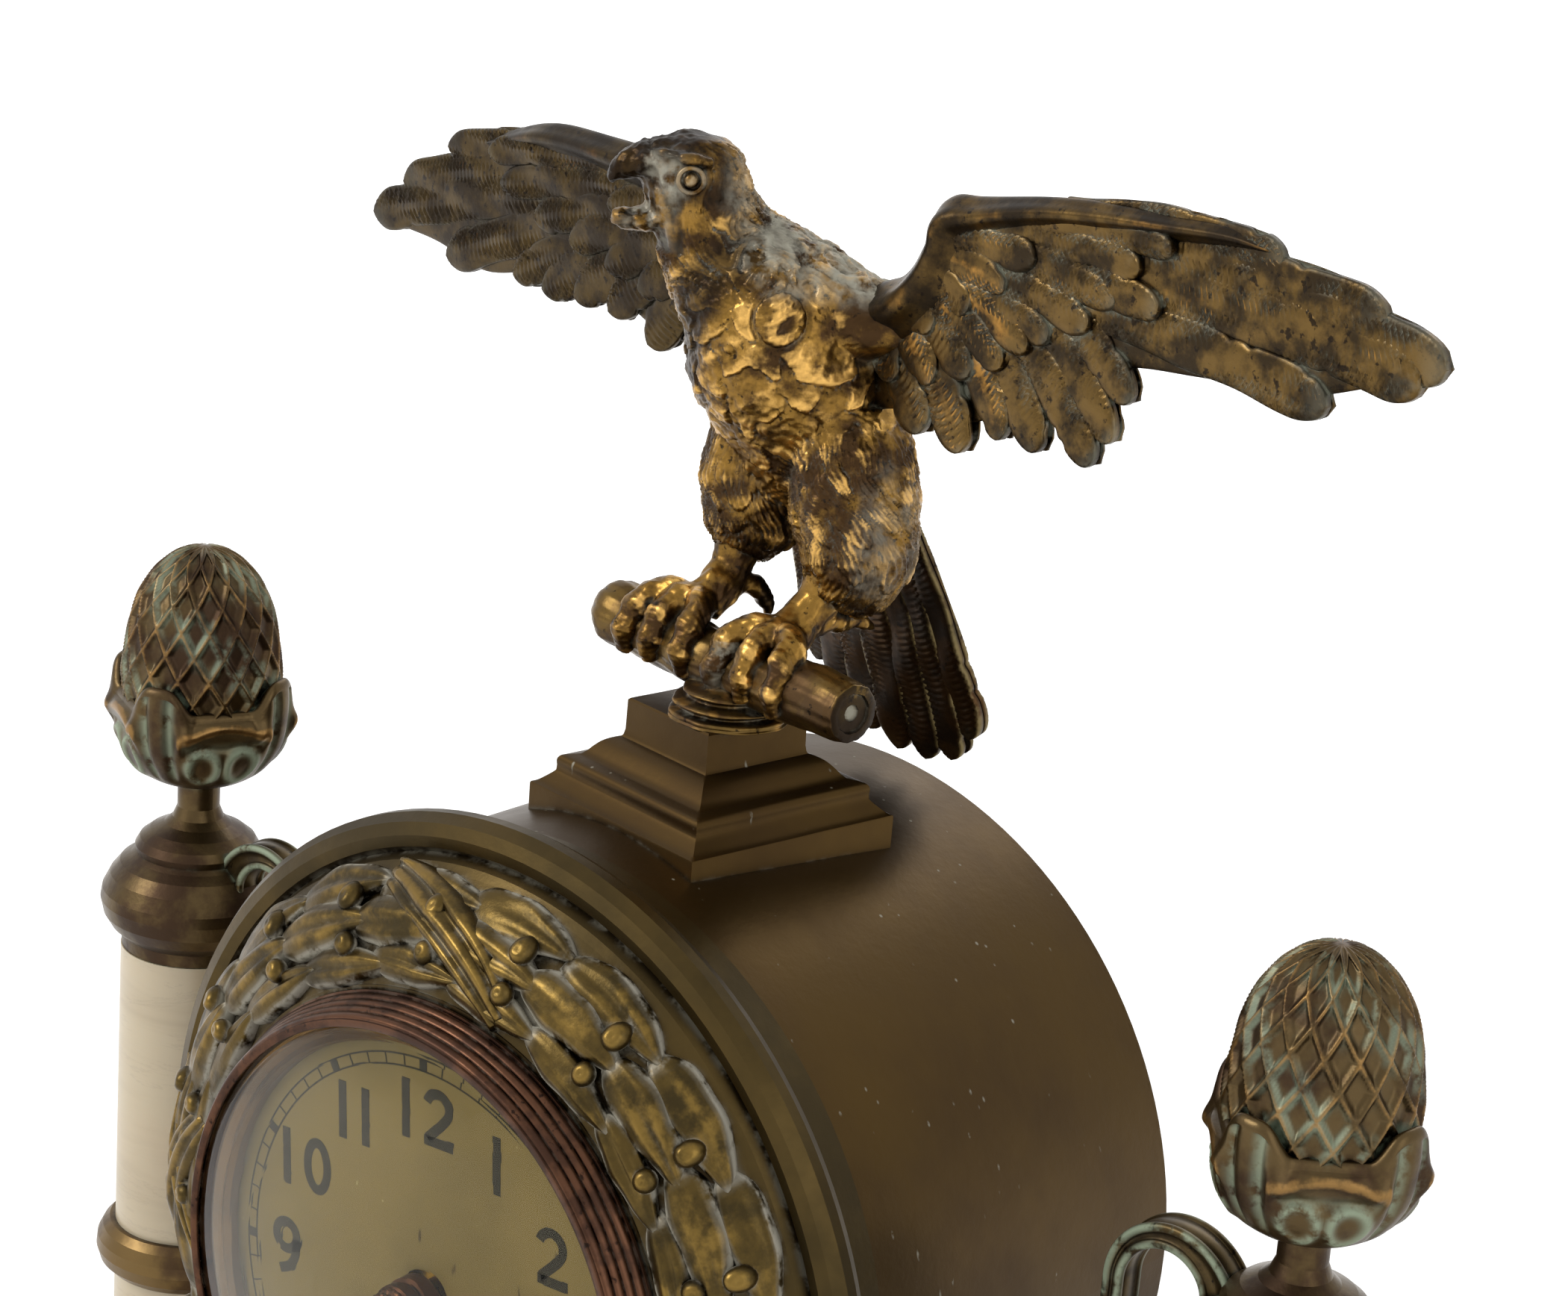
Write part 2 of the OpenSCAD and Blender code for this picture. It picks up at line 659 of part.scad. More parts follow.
module rear_ring() {
    at_axis() difference() {
        union() {
            rotate_extrude($fn = 128) polygon([[rear_open_r, rear_f], [spigot_r, rear_f],
                [spigot_r, rear_lip - drum_back], [drum_r, rear_lip - drum_back], [drum_r, 0.3 - drum_back],
                [drum_r - 0.3, -drum_back], [rear_open_r, -drum_back]]);
            difference() {
                rod(spigot_r, rear_f, rear_f + spigot, 128);
                rod(spigot_r - 2.2, rear_f - 1, rear_f + spigot + 1, 128);
            }
            for (y = [-12, 7]) translate([rear_hinge_x, y, rear_hinge_f]) {
                rotate([-90, 0, 0]) rod(1.6, 0, 5, small);
                translate([-1.6, 0, 0]) cube([2, 5, 2]);
            }
        }
        translate([rear_hinge_x, 0, rear_hinge_f]) rotate([90, 0, 0]) rod(hinge_pin_r, -20, 20, small);
        for (s = [-1, 1]) translate([s * case_rod_x, case_rod_y, 0])
            rod(case_rod_r, rear_f - rear_t - 1, rear_f + 10, small);
        translate([latch_x, 0, 0]) rod(latch_pin_r + run, rear_f - rear_t - 1, rear_f + 1, small);
    }
}

module rear_door() {
    f = rear_f - rear_t - 0.9;
    at_axis() difference() {
        union() {
            rod(door_r, f - rear_door_t, f, 128);
            translate([rear_hinge_x, -7 + gap, rear_hinge_f]) rotate([-90, 0, 0])
                rod(1.6, 0, 14 - 2 * gap, small);
            translate([rear_hinge_x, -7 + gap, f - rear_door_t])
                cube([6, 14 - 2 * gap, rear_door_t]);
        }
        translate([rear_hinge_x, 0, rear_hinge_f]) rotate([90, 0, 0])
            rod(hinge_pin_r + run, -20, 20, small);
        for (k = [0 : 11]) rotate([0, 0, 30 * k]) translate([door_r * 0.62, 0, 0])
            rod(4.5, f - rear_door_t - 1, f + 1, small);
    }
}

module rear_pin() {
    at_axis() translate([rear_hinge_x, 0, rear_hinge_f]) rotate([90, 0, 0])
        rod(hinge_pin_r, -12, 12, small);
}

// Turn-button that keeps the rear door shut; at rest it stands upright, clear of the door.
module rear_latch() {
    f = rear_f - rear_t - gap;
    g = rear_f - rear_t - 0.9 - rear_door_t - gap;
    at_axis() translate([latch_x, 0, 0]) {
        rod(latch_pin_r, f - 0.1, rear_f - 0.6, small);
        rod(2.8, g - 0.6, f, small);
        translate([0, 0, g - 1.2]) linear_extrude(1.2) {
            circle(3, $fn = small);
            translate([-2.4, 0]) square([4.8, 9.5]);
        }
        rod(1.6, g - 3, g - 0.9, small);
    }
}

module case_rods() {
    at_axis() for (s = [-1, 1]) translate([s * case_rod_x, case_rod_y, 0]) {
        rod(case_rod_r, rear_f - rear_t - 3, ring_back + 6, small);
        rod(case_rod_r + 1.4, rear_f - rear_t - 2.2, rear_f - rear_t, small);
    }
}

// A cheese-head screw along +Z with its head under z = 0
module screw(len) {
    rod(screw_r, 0, len, small);
    difference() {
        rod(screw_head_r, -screw_head_h, 0, small);
        translate([-screw_head_r - 1, -0.4, -screw_head_h - 1])
            cube([2 * screw_head_r + 2, 0.8, 1.8]);
    }
}

module screws() {
    for (s = [0, 1]) mirror([s, 0, 0])
        translate([flat_x(), 0, pad_z]) rotate([0, 90, 0]) screw(drum_r + 3 - flat_x());
    at_axis() for (a = [60, 180, 300]) rotate([0, 0, a]) translate([flange_r + 1.6, 0, front_in])
        screw(plate_t + 3);
}

// Where a screw's flat head meets the drum's round inner wall
function flat_x() = sqrt(inner_r * inner_r - pow(abs(pad_z - axis_h) + screw_head_r, 2)) - 0.02;

// Movement

module plate_holes(z0, z1) {
    translate([third_x, third_y, 0]) rod(pivot_r + run, z0, z1, small);
    translate([0, escape_y, 0]) rod(pivot_r + run, z0, z1, small);
    translate([0, anchor_y, 0]) rod(pivot_r + run, z0, z1, small);
    translate([barrel_x, barrel_y, 0]) rod(wind_r + run, z0, z1, small);
    rod(centre_r + run, z0, z1, small);
    for (a = pillar_angles) rotate([0, 0, a]) translate([pillar_at, 0, 0]) rod(1.5, z0, z1, small);
}

module front_plate() {
    at_axis() difference() {
        rod(plate_hold_r, front_in, plate_front, fine);
        plate_holes(front_in - 1, plate_front + 1);
        for (a = [30, 150, 270]) rotate([0, 0, a]) translate([dial_r - 5, 0, 0])
            rod(1.2, front_in - 1, plate_front + 1, small);
        for (a = [60, 180, 300]) rotate([0, 0, a]) translate([flange_r + 1.6, 0, 0])
            rod(screw_r, front_in - 1, plate_front + 1, small);
    }
    // Posts of the minute wheel and of the click
    at_axis() translate([minute_x, minute_y, 0]) rod(post_r, plate_front - 0.5, plate_front + 3.8, small);
    at_axis() translate([click_x, click_y, 0]) rod(post_r, plate_front - 0.5, plate_front + 2.2, small);
}

module back_plate() {
    at_axis() difference() {
        rod(plate_r, back_out, back_in, fine);
        plate_holes(back_out - 1, back_in + 1);
        for (s = [-1, 1]) translate([s * 4.6, susp_y + 3.4, 0]) rod(1, back_out - 1, back_in + 1, small);
    }
}

module pillars() {
    at_axis() for (a = pillar_angles) rotate([0, 0, a]) translate([pillar_at, 0, 0]) {
        rod(2.6, back_in, front_in, small);
        rod(1.5, back_out - 0.8, back_in + 0.1, small);
        rod(1.5, front_in - 0.1, plate_front + 0.6, small);
    }
}

module barrel() {
    at_axis() translate([barrel_x, barrel_y, 0]) difference() {
        union() {
            translate([0, 0, great_f0]) linear_extrude(height = great_f1 - great_f0)
                wheel_outline(great_teeth, great_m, barrel_a + 180);
            rod(barrel_r, great_f0 - barrel_len, great_f0 + 0.1, fine);
        }
        rod(wind_r + run, 0, plate_front + 10, small);
        rod(barrel_r - barrel_wall, great_f0 - barrel_len + barrel_wall, great_f0 - 0.4, fine);
    }
}

// Winding arbor with its hook collar inside the barrel, its ratchet wheel and its square end
module winding_arbor() {
    at_axis() translate([barrel_x, barrel_y, 0]) {
        rod(wind_r, back_out, dial_face - 1.5, small);
        rod(4, great_f0 - barrel_len + barrel_wall + 1, great_f0 - 2, small);
        translate([0, 0, click_f]) linear_extrude(height = 1.2)
            polygon([for (k = [0 : ratchet_teeth - 1], s = [0, 1])
                let (a = 360 * (k + s * 0.9) / ratchet_teeth, r = s == 0 ? ratchet_r - 0.7 : ratchet_r)
                [r * cos(a), r * sin(a)]]);
        translate([-1.2, -1.2, dial_face - 1.6]) cube([2.4, 2.4, 2.8]);
    }
}

module click() {
    at_axis() translate([click_x, click_y, click_f]) difference() {
        union() {
            cylinder(r = 1.8, h = 1.1, $fn = small);
            linear_extrude(height = 1.1) polygon([[-1.6, 0.8], [-3.6, -0.6], [-3.9, -1.3], [-3.2, -1.5], [0, -1.7]]);
        }
        translate([0, 0, -1]) cylinder(r = post_r + run, h = 4, $fn = small);
    }
}

module centre_wheel() {
    at_axis() {
        rod(centre_r, back_out, minute_end + 1.6, small);
        rod(centre_r + 0.6, back_in + 0.4, centre_f0 + 2.4, small);
        pinion(centre_leaves, great_m, barrel_a + 180 / centre_leaves, great_f0 - 0.6, front_in - 0.6);
        wheel(centre_teeth, centre_m, third_a, centre_f0, centre_f0 + 1.2, 3);
    }
}

module third_wheel() {
    at_axis() translate([third_x, third_y, 0]) {
        rod(arbor_r - 0.2, back_in + 0.4, front_in - 0.4, small);
        rod(pivot_r, back_out, plate_front, small);
        pinion(third_leaves, centre_m, third_a + 180 + 180 / third_leaves, centre_f0 - 0.6, centre_f0 + 1.8);
        wheel(third_teeth, third_m, escape_a, third_f0, third_f0 + 1.2, 2.6);
    }
}

module escape_wheel() {
    at_axis() translate([0, escape_y, 0]) {
        rod(arbor_r - 0.25, back_in + 0.4, front_in - 0.4, small);
        rod(pivot_r, back_out, plate_front, small);
        pinion(escape_leaves, third_m, escape_a + 180 + 180 / escape_leaves, third_f0 - 0.6, third_f0 + 1.8);
        difference() {
            translate([0, 0, escape_f0]) linear_extrude(height = 0.8)
                polygon([for (k = [0 : escape_teeth - 1], s = [[escape_r - 1.4, 0], [escape_r - 1.4, 0.62],
                    [escape_r, 0.9], [escape_r, 0.98]])
                    let (a = 360 * (k + s[1]) / escape_teeth) [s[0] * cos(a), s[0] * sin(a)]]);
            for (k = [0 : 3]) rotate([0, 0, 45 + 90 * k]) translate([4.3, 0, escape_f0 - 1])
                cylinder(r = 1.7, h = 3, $fn = small);
        }
    }
}

// Anchor with its two pallets, its arbor and the crutch that reaches the pendulum rod
module anchor() {
    reach = anchor_y - escape_y;
    at_axis() {
        translate([0, anchor_y, 0]) {
            rod(arbor_r, back_in + 0.4, front_in - 0.4, small);
            rod(pivot_r, pend_f + 2.4, plate_front, small);
            rod(1.5, pend_f + 2.4, pend_f + 4.2, small);
            for (s = [-1, 1]) translate([0, 0, escape_f0 - 0.3]) linear_extrude(height = 1.4)
                polygon([[-s * 0.4, 1.9], [s * 6.4, 8.8 - reach], [s * 7.9, 7.2 - reach],
                    [s * 7.3, 6.6 - reach], [s * 6.6, 7.2 - reach], [s * 5.6, 7.9 - reach], [s * 1, -1.2],
                    [-s * 0.4, -1.1]]);
        }
        translate([-0.9, fork_y, pend_f + 2.6]) cube([1.8, anchor_y - fork_y, 1.2]);
        for (s = [-1, 1]) translate([s * (pend_rod_r + 0.4 + 0.5) - 0.5, fork_y - 2, pend_f - 2])
            cube([1, 4, 5]);
        translate([-pend_rod_r - 1.4, fork_y - 2, pend_f + 2.2]) cube([2 * pend_rod_r + 2.8, 4, 1.4]);
    }
}

module suspension_cock() {
    at_axis() difference() {
        union() {
            translate([-7, susp_y + 1, back_out - 1.6]) cube([14, 5, 1.6]);
            translate([-3.8, susp_y + 1.6, pend_f - 2.6]) cube([7.6, 3.6, back_out - pend_f + 2.6]);
        }
        translate([-3, susp_y, pend_f - 0.4]) cube([6, 10, 0.8]);
        for (s = [-1, 1]) translate([s * 4.6, susp_y + 3.4, 0]) rod(1, back_out - 3, back_out + 1, small);
        translate([-10, susp_y + pin_rise - susp_pin_r - 0.4, pend_f - susp_pin_r - 0.3])
            cube([20, 6, 2 * susp_pin_r + 0.6]);
    }
}

// Suspension spring with the cross pin that hangs in the cock
module suspension_spring() {
    at_axis() {
        translate([-2.2, susp_y - 4.5, pend_f - 0.1]) cube([4.4, 8, 0.2]);
        translate([-4.6, susp_y + pin_rise, pend_f]) rotate([0, 90, 0]) rod(susp_pin_r, 0, 9.2, small);
    }
}

module pendulum_rod() {
    at_axis() difference() {
        union() {
            translate([-2.6, susp_y - 9, pend_f - 1.4]) cube([5.2, 5.5, 2.8]);
            translate([0, bob_y - bob_r - 8, pend_f]) rotate([-90, 0, 0])
                rod(pend_rod_r, 0, susp_y - 8 - bob_y + bob_r + 8, small);
        }
        translate([-2.2, susp_y - 4.5, pend_f - 0.1]) cube([4.4, 6, 0.2]);
    }
}

module pendulum_bob() {
    at_axis() translate([0, bob_y, pend_f]) difference() {
        rotate_extrude($fn = fine) polygon([[0, -bob_t / 2], [bob_r * 0.35, -bob_t * 0.48],
            [bob_r * 0.7, -bob_t * 0.38], [bob_r * 0.93, -bob_t * 0.27], [bob_r, -bob_t * 0.2],
            [bob_r, bob_t * 0.2], [bob_r * 0.93, bob_t * 0.27], [bob_r * 0.7, bob_t * 0.38],
            [bob_r * 0.35, bob_t * 0.48], [0, bob_t / 2]]);
        translate([0, -bob_r - 2, 0]) rotate([-90, 0, 0]) rod(pend_rod_r + run, 0, 2 * bob_r + 4, small);
    }
}

module rating_nut() {
    at_axis() translate([0, bob_y - bob_r - 0.4 - 3, pend_f]) rotate([-90, 0, 0]) difference() {
        union() {
            cylinder(r = 3.6, h = 1.6, $fn = small);
            cylinder(r = 2.2, h = 3, $fn = small);
        }
        rod(pend_rod_r + run, -1, 5, small);
    }
}

module cannon_pinion() {
    at_axis() difference() {
        union() {
            pinion(cannon_leaves, motion_m, minute_a, plate_front + 0.4, plate_front + 2);
            rod(cannon_r, plate_front + 0.4, minute_end, small);
        }
        rod(centre_r, plate_front - 1, minute_end + 1, small);
    }
}

module minute_wheel() {
    at_axis() translate([minute_x, minute_y, 0]) difference() {
        union() {
            wheel(minute_teeth, motion_m, minute_a + 180 + 180 / minute_teeth,
                plate_front + 0.8, plate_front + 1.6, 2.8);
            pinion(minute_leaves, hour_m, minute_a + 180, plate_front + 1.5, plate_front + 3.4);
        }
        rod(post_r + run, plate_front, plate_front + 5, small);
    }
}

module hour_wheel() {
    at_axis() difference() {
        union() {
            wheel(hour_teeth, hour_m, minute_a + 180 / hour_teeth, plate_front + 2.4, plate_front + 3.3, 4);
            rod(hour_pipe_r, plate_front + 2.4, hour_end, small);
        }
        rod(cannon_r + run, plate_front, hour_end + 1, small);
    }
}

module hand_outline(len, w, hub) {
    circle(r = hub, $fn = small);
    polygon([[-w * 0.3, hub * 0.5], [-w * 0.5, len * 0.45], [0, len], [w * 0.5, len * 0.45], [w * 0.3, hub * 0.5]]);
}

// Blade and ribbed boss of the hour hand
module hour_hand() {
    at_axis() difference() {
        union() {
            translate([0, 0, hour_f]) rotate([0, 0, -hour_turn]) linear_extrude(height = hand_t)
                hand_outline(hour_len, 5, boss_r);
            rotate_extrude($fn = mid) polygon([[1, dial_face + 0.5], [boss_r - 0.4, dial_face + 0.5],
                [boss_r + 0.1, dial_face + 0.8], [boss_r + 0.1, hour_end - 0.3], [boss_r - 0.4, hour_end],
                [1, hour_end]]);
        }
        rod(hour_pipe_r, dial_face - 1, hour_end + 1, small);
    }
}

module minute_hand() {
    hub = boss_r - 0.3;
    at_axis() difference() {
        union() {
            translate([0, 0, minute_f]) rotate([0, 0, -minute_turn]) linear_extrude(height = hand_t)
                hand_outline(minute_len, 4, hub);
            rotate_extrude($fn = mid) polygon([[0.8, hour_end + gap], [hub - 0.3, hour_end + gap],
                [hub + 0.1, hour_end + gap + 0.3], [hub + 0.1, minute_end - 0.3], [hub - 0.3, minute_end],
                [0.8, minute_end]]);
        }
        rod(cannon_r, hour_end - 1, minute_end + 1, small);
    }
}

// Stepped and ribbed nut that holds the hands
module hand_nut() {
    z = minute_end;
    at_axis() rotate_extrude($fn = mid) polygon([[centre_r, z], [3.9, z], [4, z + 0.7], [3.6, z + 1],
        [3.6, z + 1.2], [3.8, z + 1.5], [3.7, z + 2], [3.2, z + 2.3], [3.1, z + 2.7], [2.6, z + 3.1],
        [1.4, z + 3.4], [0, z + 3.5], [0, z + 1.6], [centre_r, z + 1.6]]);
}

// Pedestal and eagle

// Half section of the pedestal's moulding: share of the way in from foot to block, and share of the height
pedestal_steps = [[0, -0.25], [0, 0.0625], [0.04, 0.081], [0.11, 0.1], [0.18, 0.1375], [0.24, 0.181],
    [0.27, 0.206], [0.295, 0.2625], [0.3, 0.3125], [0.31, 0.356], [0.38, 0.372], [0.5, 0.394], [0.58, 0.425],
    [0.64, 0.469], [0.71, 0.519], [0.8, 0.5625], [0.9, 0.594], [0.98, 0.6125], [1, 0.631], [1.015, 0.7],
    [1.02, 1]];

module pedestal_section() {
    h = pedestal_top - drum_r;
    right = [for (p = pedestal_steps) [pedestal_w / 2 - (pedestal_w - block_w) / 2 * p[0], drum_r + h * p[1]]];
    left = [for (k = [len(right) - 1 : -1 : 0]) [-right[k][0], right[k][1]]];
    rotate([90, 0, 0]) translate([0, 0, -pedestal_w]) linear_extrude(height = 2 * pedestal_w)
        polygon(concat(right, left));
}

// The pedestal is one moulding mitred on four sides; its underside is cut to the drum and its stud goes through
// the crown.
module pedestal() {
    difference() {
        union() {
            at_stud() intersection() {
                pedestal_section();
                rotate([0, 0, 90]) pedestal_section();
            }
            translate([stud_x, stud_y, axis_h]) rod(stud_r, inner_top() - nut_h - 2, drum_r);
        }
        difference() {
            at_axis() rod(drum_r, -60, 60, 128);
            translate([stud_x, stud_y, axis_h]) rod(stud_r, inner_top() - nut_h - 3, drum_r + 1);
        }
    }
}

// Moulded mound under the branch; grow makes the cutter that frees the eagle's claws.
module mound_form(grow) {
    r = block_w * 0.46;
    at_stud() translate([4, -1, pedestal_top]) rotate_extrude($fn = mid)
        polygon([[0, 0], [r + grow, 0], [r + grow, 1 + grow], [r * 0.9 + grow, 1.5 + grow],
            [r * 0.96 + grow, 2.2 + grow], [r * 0.9 + grow, 3 + grow], [r * 0.76 + grow, 3.6 + grow],
            [r * 0.56 + grow, 5 + grow], [0, 5.4 + grow]]);
}

module mound() {
    difference() {
        mound_form(0);
        branch_core();
    }
}

module branch_core() {
    at_stud() translate([1 - branch_len / 2, 0, branch_z]) rotate([0, 90, 0])
        cylinder(r = branch_r, h = branch_len, $fn = mid);
}

// A crooked branch: its cut right end is square, its left end is a rounded knot.
module branch() {
    branch_core();
    at_stud() translate([2.5 - branch_len / 2, 0, branch_z]) sphere(r = branch_r * 0.96, $fn = mid);
}

// Body rows from the rump up to the crown, then the open beak; thighs, shanks, toes, heel claws and the tail
module eagle_form() {
    z = eagle_z;
    loft([[3, 23, z + 24, 8, 6, 20], [2.5, 20, z + 31, 14, 11, 18], [1, 15, z + 41, 16, 14, 12],
        [0, 9.5, z + 50, 16.5, 15, 0], [-2, 6.5, z + 57, 14.5, 13.5, -12], [-5.5, 2.5, z + 63, 10.6, 10.6, -22],
        [-8, -1, z + 69, 8, 8.8, -22], [-9.6, -3.6, z + 75, 7.2, 8.2, -15], [-11, -4.5, z + 78.6, 5, 6, -8],
        [-11.6, -4.5, z + 80.6, 2, 2.6, 0]]);
    hull() {
        translate([-13, -8.5, z + 74.5]) sphere(r = 4, $fn = 14);
        translate([-17, -13, z + 74.3]) sphere(r = 1.8, $fn = 12);
        translate([-17.6, -14, z + 72]) sphere(r = 0.9, $fn = 12);
    }
    hull() {
        translate([-12.5, -7.5, z + 70]) sphere(r = 3, $fn = 14);
        translate([-16.5, -12.5, z + 69]) sphere(r = 1.3, $fn = 12);
    }
    for (s = [-1, 1]) {
        hull() {
            translate([2.4 + s * 8.6, 13, z + 31]) sphere(r = 8, $fn = 16);
            translate([2 + s * 9.6, 9, z + 15.5]) sphere(r = 4.8, $fn = 16);
        }
        hull() {
            translate([1.4 + s * 9.8, 8, z + 15]) sphere(r = 3.4, $fn = 14);
            translate([0.6 + s * 10.6, 3, z + 7]) sphere(r = 3, $fn = 14);
        }
        for (t = [-1, 0, 1]) {
            hull() {
                translate([0.6 + s * 10.8 + t * 3, 1, z + 6.4]) sphere(r = 2.4, $fn = 10);
                translate([0.6 + s * 10.8 + t * 6.6, -4.6, z + 2.8]) sphere(r = 2, $fn = 10);
            }
            hull() {
                translate([0.6 + s * 10.8 + t * 6.6, -4.6, z + 2.8]) sphere(r = 1.8, $fn = 10);
                translate([0.6 + s * 10.8 + t * 7, -5.4, z - 0.4]) sphere(r = 1, $fn = 10);
            }
        }
        hull() {
            translate([0.6 + s * 10.6, 3.5, z + 7]) sphere(r = 2.2, $fn = 10);
            translate([0.6 + s * 10.4, 15, z + 8.4]) sphere(r = 1.4, $fn = 10);
            translate([0.6 + s * 10.4, 19, z + 6.6]) sphere(r = 0.6, $fn = 10);
        }
    }
    hull() {
        translate([2.5, 22, z + 26]) rotate([20, 0, 0]) scale_box(25, 6);
        translate([2, 36, z - 9]) rotate([20, 0, 0]) scale_box(39, 3);
        translate([3, 38, z - 15.5]) rotate([20, 0, 0]) scale_box(26, 2.6);
    }
}

module eagle() {
    difference() {
        at_stud() eagle_form();
        at_stud() translate([-branch_len, 0, branch_z]) rotate([0, 90, 0])
            cylinder(r = branch_r + run, h = branch_len * 2, $fn = mid);
        mound_form(run);
        wing_right();
        wing_left();
    }
}

module scale_box(w, t) {
    translate([-w / 2, -t / 2, -1]) cube([w, t, 2]);
}

// Feathers of each wing: root and tip across and over the branch, width, and layer from the back to the front
feathers_right = [[56, 80.6, half - 29, 81.4, 3.8, 0], [57, 78.4, half - 10.5, 77.6, 5.4, 0.2],
    [57, 75.4, half - 0.6, 72.2, 6.4, 0.4], [58, 72, half - 17.5, 64.9, 6.2, 0.6],
    [58, 68.4, half - 20, 63.1, 5.6, 0.8], [52, 67.5, 66.5, 55.8, 5.2, 1], [48, 64.5, 64, 50.1, 5.6, 1.1],
    [44, 62, 60.4, 44.8, 6.2, 1.2], [40, 60, 50.1, 44.2, 6.4, 1.3], [34, 57.8, 42.8, 44.5, 6.4, 1.4],
    [24, 54, 35, 40.6, 7.4, 1.5], [16, 53, 26.2, 41.8, 6.4, 1.6], [34, 74, 68, 75.4, 4, 1.8],
    [34, 71.5, 70.5, 71.2, 4.2, 1.9], [32, 71, 62.5, 69.6, 4.8, 2], [32, 68.5, 58.2, 65.6, 4.8, 2.1],
    [30, 67, 50.5, 62, 4.8, 2.2], [28, 65, 47, 60.6, 5.2, 2.3], [26, 63, 42.2, 56, 6, 2.4],
    [22, 60.5, 35.6, 52.8, 6.8, 2.5], [17, 58, 28, 49.8, 6.8, 2.6]];
feathers_left = [[50, 69.8, half - 21.5, 61.8, 4, 0], [50, 66, half - 9, 52.8, 5.6, 0.2],
    [50, 62.5, half - 0.6, 46.4, 6.2, 0.4], [50, 59, half - 24, 41.2, 6.4, 0.6],
    [48, 57, half - 44, 43.4, 6, 0.8], [46, 56.5, 67.5, 42.4, 6.4, 1], [42, 56, 58.6, 43.4, 7, 1.1],
    [38, 55.5, 49.2, 42.4, 8, 1.3], [32, 52, 37.6, 39.2, 8.6, 1.5], [22, 52, 26, 40, 8, 1.6],
    [40, 67.5, 84, 63.6, 4.6, 1.8], [38, 64, 78, 58, 5, 2], [34, 61.5, 66, 52.4, 5.6, 2.2],
    [28, 60.5, 52, 51.5, 6.4, 2.4]];

module feather(f) {
    v = [f[2] - f[0], f[3] - f[1]];
    n = norm(v);
    d = v / n;
    e = [-d[1], d[0]];
    w = f[4] / 2;
    edge = [[0, 0.7], [0.25, 0.92], [0.6, 1], [0.82, 0.94], [0.93, 0.72], [0.985, 0.36]];
    translate([0, 0, f[5]]) linear_extrude(height = 1.3) polygon(concat(
        [for (p = edge) [f[0], f[1]] + d * n * p[0] + e * w * p[1]],
        [for (k = [len(edge) - 1 : -1 : 0]) [f[0], f[1]] + d * n * edge[k][0] - e * w * edge[k][1]]));
}

// A wing is a core with its bone along the leading edge and the feathers laid on from the tip to the shoulder.
module wing(side, feathers, core, bone) {
    mirror([side < 0 ? 1 : 0, 0, 0]) translate([0, 15 + wing_t / 2, eagle_z]) rotate([90, 0, 0]) {
        translate([0, 0, 0.15]) linear_extrude(height = 1.9) polygon(core);
        for (f = feathers) feather(f);
        translate([0, 0, 0.9]) linear_extrude(height = wing_t - 0.9) polygon(bone);
    }
}

module wing_right() {
    at_stud() wing(1, feathers_right, [[13, 47], [20, 69.5], [25, 75.5], [34, 78], [57, 81.5], [90, 78],
        [97, 70], [80, 63.5], [62, 64], [56, 55], [46, 50], [30, 46], [13, 38.5]],
        [[13, 47], [20, 70], [23, 75.5], [27, 78.4], [34, 80], [50, 83], [57, 84], [66, 82], [58, 80], [50, 78.5],
        [35, 75.5], [28, 72], [22, 60], [13, 40]]);
}

module wing_left() {
    at_stud() wing(-1, feathers_left, [[13, 47], [22, 63.5], [34, 69], [47, 70.5], [62, 70.5], [84, 62], [104, 54],
        [104, 48], [88, 44], [66, 46], [50, 46], [34, 44], [13, 37]],
        [[13, 47], [22, 64], [34, 70], [47, 71.5], [60, 72.2], [72, 71], [86, 65.5], [84, 63], [70, 67.5],
        [58, 68.5], [47, 67.5], [35, 65.5], [26, 58], [13, 40]]);
}

color([0.82, 0.76, 0.64]) base_lower();
color([0.6, 0.45, 0.2]) base_band();
color([0.84, 0.78, 0.66]) base_upper();
color([0.6, 0.45, 0.2]) feet();
color([0.6, 0.6, 0.62]) tie_rods();
color([0.55, 0.55, 0.58]) nuts();
color([0.58, 0.43, 0.2]) column_base(-1);  // column_base_left
color([0.58, 0.43, 0.2]) column_base(1);  // column_base_right
color([0.85, 0.8, 0.7]) shaft(-1, shaft1_z, collar_z);  // shaft_lower_left
color([0.85, 0.8, 0.7]) shaft(1, shaft1_z, collar_z);  // shaft_lower_right
color([0.55, 0.42, 0.2]) collar(-1);  // collar_left
color([0.55, 0.42, 0.2]) collar(1);  // collar_right
color([0.86, 0.8, 0.7]) shaft(-1, shaft2_z, cap_z);  // shaft_upper_left
color([0.86, 0.8, 0.7]) shaft(1, shaft2_z, cap_z);  // shaft_upper_right
color([0.5, 0.38, 0.2]) cap(-1);  // cap_left
color([0.5, 0.38, 0.2]) cap(1);  // cap_right
color([0.55, 0.4, 0.2]) finial(-1);  // finial_left
color([0.55, 0.4, 0.2]) finial(1);  // finial_right
color([0.5, 0.4, 0.22]) bracket(-1);  // bracket_left
color([0.5, 0.4, 0.22]) bracket(1);  // bracket_right
color([0.45, 0.36, 0.2]) drum_case();
color([0.6, 0.48, 0.22]) front_ring();
color([0.6, 0.32, 0.2]) bezel();
color([0.6, 0.6, 0.62]) bezel_pin();
color([0.8, 0.9, 0.9, 0.3]) glass();
color([0.75, 0.58, 0.28]) sight_ring();
color([0.85, 0.8, 0.62]) dial();
color([0.6, 0.48, 0.22]) rear_ring();
color([0.65, 0.52, 0.26]) rear_door();
color([0.6, 0.6, 0.62]) rear_pin();
color([0.7, 0.55, 0.25]) rear_latch();
color([0.6, 0.6, 0.62]) case_rods();
color([0.5, 0.5, 0.55]) screws();
